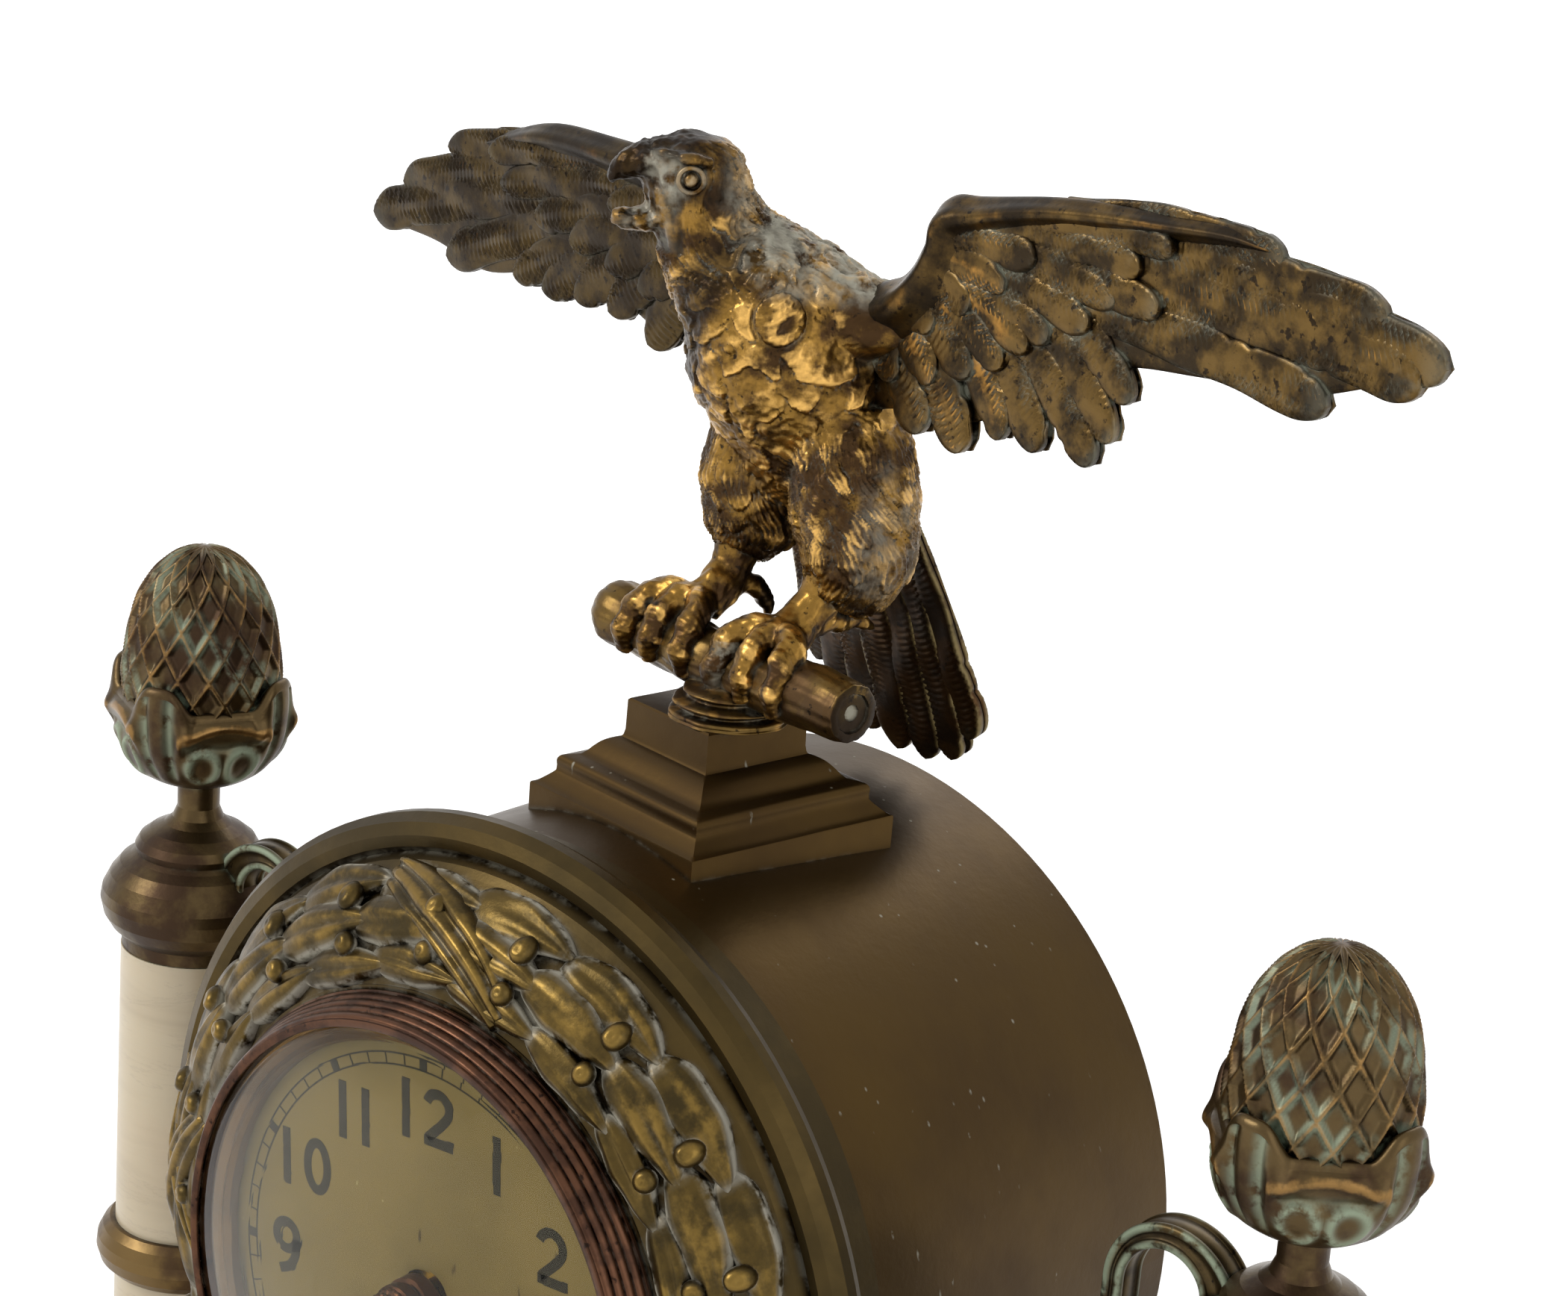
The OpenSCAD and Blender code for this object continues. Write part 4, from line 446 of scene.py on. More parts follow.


# Each finish: its maker, its colours as a name of ClockColours or an sRGB value, and what sets it apart. The colours
# of an aged metal are its ground, tarnish, hollows (dark dirt and painted shade) and residue, and where it is rubbed
# (worn gilding and a painted highlight)
FINISHES = {
    # Lacquered brass gone brown: soft shine, pale dashes and a few specks of dust
    "drum brass": (aged_metal, ("brass", "brass_dark", "#2c2314", "residue"),
                   dict(metal=0.92, rough=0.4, blotch=60, scratch=0.55, chalk=0.3, cloudy=(0.3, 0.74))),
    # Cast brass of the ring: olive, with old polish in the creases
    "ring brass": (aged_metal, ("#4c3d1f", "#3a2f18", "#261d0f", "residue"),
                   dict(metal=0.9, rough=0.38, blotch=26, chalk=0.35, crevice=1.6, cloudy=(0.36, 0.68))),
    # Leaves of the wreath: olive-gold, a little rubbed on the ridges, which is also a painted highlight, residue in
    # every joint
    "wreath brass": (aged_metal, ("#524220", "#382e18", "#1c160b", "#aaa596", "#7d6430"),
                     dict(metal=0.9, rough=0.36, blotch=9, chalk=0.95, crevice=2.0, fields=("pale",), grain=0.1)),
    # Copper bezel: brown reeds with black in the grooves, dark dirt and painted shade
    "reeded copper": (aged_metal, ("copper", "#3f2a1f", "#1d120d", "#a08a78"),
                      dict(metal=0.9, rough=0.36, blotch=6, chalk=0.4, crevice=1.3, speck=0.35,
                           cloudy=(0.42, 0.6))),
    # Fire gilding worn through to bronze: gold on the crests, partly a painted highlight, brown-black hollows with
    # painted shade, pale polish dried on it
    "gilt bronze": (aged_metal, ("gilt", "#3d2a15", "patina", "residue", "gilt_bright"),
                    dict(metal=0.9, rough=0.34, blotch=8, speck=0.4, chalk=0.5, crevice=1.9,
                         fields=("pale", "dark"), grain=0.09, cloudy=(0.4, 0.58))),
    # Right wing: the same gilding, browner, with dark spots and pale green residue in its joints
    "right wing gilding": (aged_metal, ("#604a25", "#2f2414", "patina", "#aeb09c", "#a87a38"),
                           dict(metal=0.88, rough=0.36, blotch=7, speck=0.5, chalk=0.7, crevice=2.0,
                                fields=("pale", "dark"), grain=0.08, cloudy=(0.4, 0.6))),
    # Left wing: darker and redder, gold nearly gone
    "left wing gilding": (aged_metal, ("#46371c", "#2a2013", "patina", "#8f8a74", "#764f24"),
                          dict(metal=0.88, rough=0.38, blotch=8, speck=0.5, chalk=0.35, crevice=2.0,
                               fields=("pale", "dark"), grain=0.08, cloudy=(0.4, 0.6))),
    # Branch and mound: olive and copper bronze, smooth with handling, lighter on the high places as wear and painted
    # highlight
    "branch bronze": (aged_metal, ("#6a5329", "#4b3720", "patina", "residue", "#97733a"),
                      dict(metal=0.9, rough=0.36, blotch=9, speck=0.35, chalk=0.4, crevice=1.6,
                           fields=("dark", "pale"), grain=0.1)),
    # Tail: gilding nearly gone, chocolate bronze with orange-brown left on the ridges, partly a painted highlight
    "tail bronze": (aged_metal, ("#4c351d", "#2e2114", "patina", "#9c8a58", "#94632a"),
                    dict(metal=0.85, rough=0.4, blotch=8, speck=0.35, chalk=0.3, crevice=1.5, fields=("pale",))),
    # Strap of the brackets: dark bronze face between beads crusted pale green, the pale lying along the beads'
    # crests, where it is also a painted highlight
    "strap bronze": (aged_metal, ("#4e4026", "#33291a", "#1c150d", "verdigris"),
                     dict(metal=0.88, rough=0.4, blotch=9, chalk=0.15, speck=0.3, crevice=1.0, fields=("pale",))),
    # Bronze of cones and caps: brown with copper clouds and pale green crust in the grooves
    "dark bronze": (aged_metal, ("#54442a", "#3a2a1c", "#19120b", "verdigris", "#8d6c3e"),
                    dict(metal=0.88, rough=0.38, blotch=13, chalk=0.5, crevice=1.8, fields=("pale",), grain=0.08)),
    # Feet and bands of the base: the same bronze, cleaner
    "bronze": (aged_metal, ("#6a5430", "#4a3722", "#20180e", "residue"),
               dict(metal=0.8, rough=0.4, blotch=14, chalk=0.3)),
    # Brown-gold lacquer of the ring under the glass, turned
    "sight brass": (plain_metal, ("#7a5a2c", "#4c3820"),
                    dict(metal=0.8, rough=0.42, blotch=18, brushed=(1, 30, 1))),
    # Brass of the movement, brushed and lacquered, kept from the air
    "movement brass": (plain_metal, ("#b8923e", "#8a6a2c"), dict(rough=0.32, brushed=(1, 1, 12))),
    # Turned steel, grey with faint brown stains
    "steel": (plain_metal, ("#8e8c88", "#5a5148"), dict(rough=0.34)),
    # Hands of bronze gone brown
    "hand bronze": (plain_metal, ("#54321f", "#2c1c14"), dict(metal=0.8, rough=0.45)),
    "cream marble": (banded_marble, ("marble", "vein"), {}),
    "silvered dial": (aged_dial, ("dial",), {}),
    "window glass": (clear_glass, (), {}),
    "black paint": (ink, ("ink",), {}),
}
MADE = {}


def finish(key):
    """Makes each finish once, when a piece first asks for it."""
    if key not in MADE:
        maker, tones, settings = FINISHES[key]
        mixed = [linear(tone) if tone[0] == "#" else tuple(getattr(colours(), tone)) for tone in tones]
        MADE[key] = maker(key, *mixed, **settings)
    return MADE[key]


CAD_FINISHES = {
    "cream marble": ["base_lower", "base_upper", "shaft_lower_left", "shaft_lower_right", "shaft_upper_left",
                     "shaft_upper_right"],
    "bronze": ["base_band", "feet", "column_base_left", "column_base_right", "collar_left", "collar_right"],
    "dark bronze": ["cap_left", "cap_right"],
    "drum brass": ["drum_case", "rear_ring", "rear_door"],
    "ring brass": ["front_ring"],
    "sight brass": ["sight_ring"],
    "silvered dial": ["dial"],
    "window glass": ["glass"],
    "steel": ["tie_rods", "nuts", "bezel_pin", "rear_pin", "case_rods", "screws", "winding_arbor", "click",
              "anchor", "suspension_spring", "pendulum_rod", "rating_nut"],
    "movement brass": ["rear_latch", "front_plate", "back_plate", "pillars", "barrel", "centre_wheel",
                       "third_wheel", "escape_wheel", "suspension_cock", "pendulum_bob", "cannon_pinion",
                       "minute_wheel", "hour_wheel"],
    "hand bronze": ["hour_hand", "minute_hand"],
}


class CLOCK_OT_finishes(bpy.types.Operator):
    """Gives every CAD node that stays visible its finish"""
    bl_idname = "clock.finishes"
    bl_label = "Finishes of the CAD pieces"

    def execute(self, context):
        for key, nodes in CAD_FINISHES.items():
            for node in nodes:
                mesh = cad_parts[node].data
                mesh.materials.clear()
                mesh.materials.append(finish(key))
        return {"FINISHED"}


# Dial, numbers and bezel

def ellipse(rx, ry, cx=0.0, cy=0.0, start=0.0, end=360.0, count=40):
    """Arc of an ellipse in degrees counterclockwise from three o'clock."""
    a = np.radians(np.linspace(start, end, count, endpoint=abs(end - start) < 360))
    return np.stack([cx + rx * np.cos(a), cy + ry * np.sin(a)], -1)


# Strokes of each figure in a box 9.2 high: a path, and whether it closes on itself
FIGURES = {
    "0": [(ellipse(2.15, 3.8), True)],
    "1": [([(0, 4.6), (0, 1.5), (0, -1.5), (0, -4.6)], False)],
    "2": [(np.concatenate([ellipse(2.3, 2.15, 0, 1.65, 165, -35, 24), [(0.4, -1.2), (-2.2, -3.5)]]), False),
          ([(-2.9, -3.85), (0, -3.85), (3.1, -3.85)], False)],
    "3": [(np.concatenate([ellipse(2.1, 1.85, -0.2, 1.95, 150, -80, 20),
                           ellipse(2.4, 2.1, -0.2, -1.75, 85, -150, 24)]), False)],
    "4": [([(1.3, 4.6), (1.3, 0), (1.3, -4.6)], False), ([(1.0, 4.4), (-1.2, 1.2), (-3.2, -1.7)], False),
          ([(-3.2, -1.9), (0, -1.9), (3.0, -1.9)], False)],
    "5": [([(2.6, 3.9), (0, 3.9), (-1.9, 3.9)], False), ([(-1.8, 4.4), (-1.9, 2.4), (-2.0, 0.6)], False),
          (ellipse(2.4, 2.45, -0.2, -1.4, 125, -145, 28), False)],
    "6": [(ellipse(2.2, 2.2, 0, -1.7), True),
          (np.array([(1.5, 4.1), (-0.6, 3.2), (-1.9, 1.2), (-2.2, -1.5)]), False)],
    "7": [([(-2.7, 3.9), (0, 3.9), (2.7, 3.9)], False), ([(2.5, 3.9), (0.6, 0.2), (-0.8, -4.6)], False)],
    "8": [(ellipse(1.9, 1.85, 0, 2.1), True), (ellipse(2.3, 2.1, 0, -1.8), True)],
    "9": [(ellipse(2.2, 2.2, 0, 1.7), True),
          (np.array([(2.2, 1.5), (1.9, -1.2), (0.6, -3.2), (-1.5, -4.1)]), False)],
}
FIGURE_H = 9.2
NUMBER_R = 29.9
TRACK_IN, TRACK_OUT = 36.6, 38.4
PAINT = 0.07


class CLOCK_OT_dial(bpy.types.Operator):
    """Paints the numbers and the minute track on the dial"""
    bl_idname = "clock.dial"
    bl_label = "Numbers and track"

    def execute(self, context):
        s = sizes()
        low, high = DIAL_F - 0.1, DIAL_F + PAINT
        slip = np.radians(s.dial_turn)
        shells = []
        scale = s.numeral / FIGURE_H
        for hour in range(1, 13):
            a = slip + hour * np.pi / 6
            centre = NUMBER_R * np.array([np.sin(a), np.cos(a)])
            text = str(hour)
            for k, figure in enumerate(text):
                # Two figures stand 5.6 mm apart; a 1 takes less room
                shift = 0 if len(text) == 1 else (k - 0.5) * (4.9 if text == "11" else 5.6) - (
                    0.9 if text in ("10", "12") and k == 0 else -0.2)
                for path, closed in FIGURES[figure]:
                    p = np.asarray(path, float) * scale + [shift, 0]
                    p = p if closed or len(p) > 12 else resample(p, 16)
                    turned = np.stack([p[:, 0] * np.cos(slip) + p[:, 1] * np.sin(slip),
                                       p[:, 1] * np.cos(slip) - p[:, 0] * np.sin(slip)], -1) + centre
                    shells.append(ribbon(turned, s.stroke, low, high, closed))
        for radius in (TRACK_OUT, TRACK_IN):
            shells.append(ribbon(ellipse(radius, radius, count=256), 0.26, low, high, True))
        for minute in range(60):
            a = slip + minute * np.pi / 30
            way = np.array([np.sin(a), np.cos(a)])
            wide = 1.5 if minute % 5 == 0 else 0.22
            shells.append(ribbon([way * TRACK_IN, way * (TRACK_IN + TRACK_OUT) / 2, way * TRACK_OUT], wide, low,
                                 high))
        piece("dial_paint", shells, finish("black paint"), "clock", sharp=40)
        return {"FINISHED"}


BEZEL_DEPTH = 6.6
BEZEL_R = 48.0
BEZEL_LIP = 45.1
GLASS_R = 44.8


class CLOCK_OT_bezel(bpy.types.Operator):
    """Turns the reeded bezel with the knuckle of its hinge"""
    bl_idname = "clock.bezel"
    bl_label = "Reeded bezel"

    def execute(self, context):
        s = sizes()
        base_f = BEZEL_F - BEZEL_DEPTH
        # Half-round reeds stand on the line from the foot to the lip: out by 0.42 times a rounded saw
        t = np.linspace(0, 1, s.reeds * 12 + 1)
        bead = np.sqrt(np.clip(1 - (2 * (t * s.reeds % 1) - 1) ** 2, 0, 1)) * 0.46 - 0.2
        along = np.array([BEZEL_LIP + 0.25 - BEZEL_R + 0.35, BEZEL_F - 0.25 - base_f - 0.6])
        out = np.array([along[1], -along[0]]) / np.hypot(*along)
        reeds = np.array([BEZEL_R - 0.35, base_f + 0.6]) + t[:, None] * along + bead[:, None] * out
        inner = [(BEZEL_LIP, BEZEL_F), (GLASS_R - 0.75, BEZEL_F), (GLASS_R - 0.9, BEZEL_F - 0.15),
                 (GLASS_R - 0.9, BEZEL_F - 0.5), (GLASS_R, BEZEL_F - 0.52), (GLASS_R, BEZEL_F - 2.1),
                 (GLASS_R - 0.5, BEZEL_F - 2.1), (GLASS_R - 0.5, BEZEL_F - 2.7), (GLASS_R - 1.4, BEZEL_F - 3.7),
                 (GLASS_R - 1.4, base_f), (BEZEL_R, base_f), (BEZEL_R, base_f + 0.45)]
        shells = [turned_dial(np.concatenate([reeds, inner]), 320)]
        # Knuckle round the hinge pin, with a short leaf to the ring
        pin_low, pin_high = box_mm("bezel_pin")
        x, f = (pin_low[0] + pin_high[0]) / 2, -(pin_low[1] + pin_high[1]) / 2
        a = circle(24)
        knuckle = [at_dial(x + r * np.cos(a), z, f + r * np.sin(a)) for r, z in
                   ((0.76, -1.84), (1.5, -1.84), (1.5, 1.84), (0.76, 1.84))]
        shells.append(skin(knuckle, ring=True))
        leaf = [at_dial(np.array([BEZEL_R - 1, BEZEL_R - 1, x - 1.2, x - 1.2]),
                        np.array([-1.8, 1.8, 1.8, -1.8]), g) for g in (f - 0.7, f + 0.7)]
        shells.append(skin(leaf))
        piece("reeded_bezel", shells, finish("reeded copper"), "door", ("bezel",), sharp=50)
        return {"FINISHED"}


# Wreath on the front ring

BAND_R = np.array([48.6, 51.0, 59.0, 64.0])
BAND_F = DIAL_F + np.array([0.1, -0.8, -4.7, -9.6])
BAND_LEAN = np.radians(30)
WREATH_R = 57.0


def on_band(angle, radius, lift):
    """A point of the wreath's cone: clockwise angle from twelve in radians, radius, and height off the metal,
    measured along the cone's normal, which leans out by BAND_LEAN."""
    f = np.interp(radius, BAND_R, BAND_F)
    r = radius + lift * np.sin(BAND_LEAN)
    return at_dial(r * np.sin(angle), r * np.cos(angle), f + lift * np.cos(BAND_LEAN))


def wreath_leaf(angle, radius, length, width, swing, height, seed):
    """A laurel leaf on the cone: its half width is a power of a sine along it, its section a crowned lens with a
    pinched midrib and two faint folds, and its tip rises over the next leaf's root."""
    u = np.linspace(0.0, 1.0, 26)[:, None]
    v = circle(28)[None, :]
    across = np.cos(v)
    top = np.sin(v) > 0
    half = width / 2 * (np.sin(np.pi * np.clip(u, 0.02, 0.99) ** 0.72)) ** 0.72
    half = half * (1 + 0.05 * np.sin(u * 17 + seed) * np.sign(across))
    mid = radius + swing * np.sin(np.pi * (u - 0.15)) * 0.5
    fold = 0.26 * np.cos(across * 7.5 + 3 * u + seed) * (1 - across ** 2)
    rib = 0.6 * np.exp(-((across - 0.12 * np.sin(3 * u + seed)) / 0.13) ** 2)
    crown = height * np.sqrt(np.clip(1 - across ** 2, 0, 1)) ** 0.8 * np.sin(np.pi * u ** 0.8) ** 0.35
    lift = np.where(top, crown + (fold - rib) * np.sin(np.pi * u), -1.4) + 0.2 + 0.75 * u ** 2
    rho = mid + across * half
    theta = angle + u * length / radius + 0.0 * v
    relief = np.where(top, np.clip((lift - 0.4) / (height + 0.6), 0, 1), 0)
    ends = 0.7 * smooth(u, 0.9, 1.0) + 0.6 * smooth(0.14 - u, 0, 0.1)
    pale = np.clip(smooth(np.abs(across), 0.72, 0.97) + ends, 0, 1)
    return skin(on_band(theta, rho, lift), relief=relief, pale=pale)


def berry(angle, radius, r):
    """A ball sunk to its middle in the band, drawn as rings of a sphere with a small dimple on top."""
    u = np.linspace(0.02, 0.98, 15)[:, None]
    v = circle(20)[None, :]
    ring, rise = r * np.sin(np.pi * u), r * np.cos(np.pi * u)
    rise = rise - 0.3 * np.exp(-(u / 0.09) ** 2)
    theta = angle + ring * np.cos(v) / radius
    # The dome's top has the most relief, so it takes the rubbed colour: rubbed wear and a painted highlight on each
    # berry
    return skin(on_band(theta, radius + ring * np.sin(v), rise + 2.0 + 0 * v),
                relief=np.clip(rise / r, 0, 1) + 0 * v, pale=smooth(-rise / r, -0.1, 0.25) + 0 * v)


def tie(start, end, width, height, twist):
    """A crossed ribbon over the wreath, from an outer to an inner point (angle in degrees, radius): three round
    folds side by side that narrow and sink at both ends."""
    u = np.linspace(0, 1, 40)[:, None]
    v = circle(60)[None, :]
    a0, r0, a1, r1 = np.radians(start[0]), start[1], np.radians(end[0]), end[1]
    theta = a0 + (a1 - a0) * u + twist * np.sin(np.pi * u) / WREATH_R
    rho = r0 + (r1 - r0) * u
    way = unit(np.array([(a1 - a0) * WREATH_R, r1 - r0]))
    across = np.cos(v)
    top = np.sin(v) > 0
    half = width / 2 * (0.62 + 0.38 * np.sin(np.pi * u))
    folds = np.abs(np.cos(across * 4.3 + 0.3)) ** 0.7
    shape = np.sqrt(np.clip(1 - across ** 2, 0, 1)) ** 0.6
    lift = np.where(top, height * shape * (0.55 + 0.45 * folds) * (0.55 + 0.45 * np.sin(np.pi * u)), -1.5) + 0.5
    side = across * half
    return skin(on_band(theta - side * way[1] / WREATH_R, rho + side * way[0], lift),
                relief=np.where(top, folds * shape, 0) + 0 * u)


class CLOCK_OT_wreath(bpy.types.Operator):
    """Lays the laurel wreath with its berries and ties on the front ring"""
    bl_idname = "clock.wreath"
    bl_label = "Wreath"

    def execute(self, context):
        s = sizes()
        rng = np.random.default_rng(12)
        step = 2 * np.pi / s.wreath_units
        shells = []
        for k in range(s.wreath_units):
            a = np.radians(-6.0) + k * step + rng.normal(0, 0.012)
            for radius, width, length, swing, back, height in (
                    (51.7, 5.6, 20.5, -0.6, -0.62, 1.9), (56.6, 7.2, 23.0, 0.2, -0.92, 2.5),
                    (61.5, 5.8, 21.5, 0.8, -0.70, 1.9)):
                shells.append(wreath_leaf(a + back * step, radius + rng.normal(0, 0.3),
                                          length * rng.uniform(0.92, 1.06), width, swing, height,
                                          rng.uniform(0, 6)))
            shells.append(berry(a + 0.02, 59.8 + rng.normal(0, 0.4), s.berry))
            shells.append(berry(a + 0.03, 53.6 + rng.normal(0, 0.3), s.berry * 0.92))
        for middle in (0, 90, 180, 270):
            shells.append(tie((middle - 16, 63.4), (middle + 14, 50.6), 7.6, 3.4, 1.2))
            if middle:
                shells.append(tie((middle + 15, 63.4), (middle - 13, 50.6), 6.6, 3.0, -1.0))
        piece("laurel_wreath", shells, finish("wreath brass"), "clock")
        return {"FINISHED"}


# Finials

class CLOCK_OT_finials(bpy.types.Operator):
    """Shapes both pine cones in their cups of leaves"""
    bl_idname = "clock.finials"
    bl_label = "Finials"

    def execute(self, context):
        s = sizes()
        z0, h = float(FINIAL_LOW[2]), float(FINIAL_TOP[2] - FINIAL_LOW[2])
        for side, name in ((-1, "left"), (1, "right")):
            spin = 0.35 if side < 0 else -0.1
            shells = [self.cone(side, z0, h, s, spin), self.cup(side, z0, h, spin)]
            piece(f"pine_cone_{name}", shells, finish("dark bronze"), "clock", (f"finial_{name}",))
        return {"FINISHED"}

    def cone(self, side, z0, h, s, spin):
        """Egg of revolution whose radius takes two families of spiral ridges, at even steps of angle plus and minus
        the height, and sinks a little between them."""
        t = np.linspace(0, 1, 190)[:, None]
        a = circle(240)[None, :]
        knots = np.array([(0.24, 11.0), (0.36, 12.9), (0.46, 13.4), (0.56, 13.0), (0.68, 12.2), (0.78, 11.0),
                          (0.87, 8.9), (0.93, 6.6), (0.97, 4.2), (0.99, 1.8), (0.996, 0.4)])
        curve = resample(knots, 190)
        z, r = curve[:, :1], curve[:, 1:]
        slow = np.cumsum(np.hypot(np.gradient(z[:, 0] * h), np.gradient(r[:, 0])))[:, None]
        spirals = [s.lattice * a / (2 * np.pi) + way * slow * 0.119 for way in (-1, 1)]
        reach = [np.abs((w + 0.5) % 1 - 0.5) for w in spirals]
        near = np.minimum(*reach)
        ridge = np.exp(-(near / 0.135) ** 2)
        sunk = np.clip(reach[0] * reach[1] * 16, 0, 1)
        fade = smooth(1 - t, 0.02, 0.16)
        r = r + fade * (s.ridge * ridge - 0.25 * sunk) - 0.2
        flank = np.clip(np.exp(-((near - 0.12) / 0.07) ** 2), 0, 1)
        pale = flank * (0.12 + 0.5 * np.sin(a * 3 + slow * 0.3 + side)) * fade + 0 * t
        relief = ridge * 0.8 + 0 * t
        return skin(np.stack([side * COLUMN_X + r * np.cos(a + spin), r * np.sin(a + spin),
                              z0 + z * h + 0 * a], -1), pale=pale, relief=relief)

    def cup(self, side, z0, h, spin):
        """Cup of revolution with four fat lobes: the radius grows with the cosine of four times the angle towards
        the rim. Between the lobes stand an arched band and, under it, a pair of rings."""
        a = circle(240)[None, :]
        outer = resample([(0.0, 4.4), (0.015, 6.6), (0.045, 9.4), (0.09, 11.9), (0.16, 13.9), (0.24, 15.0),
                          (0.32, 15.3), (0.385, 14.9), (0.405, 13.8), (0.37, 12.2)], 110)
        z, r = outer[:, :1] * h, outer[:, 1:]
        four = np.cos(4 * a)
        rim = smooth(z / h, 0.04, 0.34)
        lobe = 1.3 * np.sign(four) * np.abs(four) ** 0.6 * rim
        mid = (a % (np.pi / 2)) - np.pi / 4 + 0 * z
        across = mid * 14.2
        arch = np.exp(-((z - 0.35 * h + 0.06 * across ** 2) / 1.7) ** 2) * smooth(8.4 - np.abs(across), 0, 1.2)
        rings = np.zeros_like(across)
        for centre in (-3.5, 3.5):
            far = np.hypot((across - centre) / 1.0, (z - 0.155 * h) / 1.2)
            rings = np.maximum(rings, np.exp(-((far - 2.6) / 0.7) ** 2))
        seam = np.exp(-((np.abs(mid) - 0.64) / 0.05) ** 2) * smooth(z / h, 0.05, 0.14)
        low = np.exp(-((z - 0.25 * h) / 1.1) ** 2) * (np.abs(across) < 6.8)
        outside = np.arange(len(z))[:, None] < 82
        r = r + lobe + outside * (1.15 * arch + 0.5 * rings - 0.75 * seam - 0.5 * low)
        z = z + smooth(z / h, 0.2, 0.38) * (4.6 * smooth(four, -0.1, 1.0) - 0.8)
        pale = outside * np.clip(rings * 0.75 + seam * 0.5 + low * 0.2, 0, 1)
        relief = outside * np.clip(arch, 0, 1)
        return skin(np.stack([side * COLUMN_X + r * np.cos(a + spin), r * np.sin(a + spin), z0 + z + 0 * a], -1),
                    pale=pale, relief=relief)


# Pedestal, mound and branch

STUD = np.array([1.0, 1.3])
EAGLE_TURN = np.radians(-9.17)
DRUM_R = float(box_mm("drum_case")[1][0])
BLOCK_TOP = float(box_mm("pedestal")[1][2]) - AXIS_Z
BRANCH_Z = BLOCK_TOP + 7.1
BRANCH_R = 5.1


def at_eagle(x, y, z):
    """Points of the frame from the eagle's own: right, back, and height over the dial's axis, turned on the
    pedestal's stud."""
    x, y, z = np.broadcast_arrays(x, y, z)
    c, s = np.cos(EAGLE_TURN), np.sin(EAGLE_TURN)
    return np.stack([STUD[0] + x * c - y * s, STUD[1] + x * s + y * c, z + AXIS_Z], -1)


def eagle_points(p):
    """The same, from points."""
    return at_eagle(p[..., 0], p[..., 1], p[..., 2])


def waves(p, length, seed, octaves=3):
    """Soft noise in space: a sum of sines along seeded directions, each octave half as long and half as high."""
    rng = np.random.default_rng(seed)
    total = np.zeros(p.shape[:-1])
    for octave in range(octaves):
        for _ in range(4):
            way = rng.normal(size=3)
            way *= 2 * np.pi / length * 2 ** octave / np.linalg.norm(way)
            total += np.sin(p @ way + rng.uniform(0, 6.3)) / (4 * 2 ** octave)
    return total


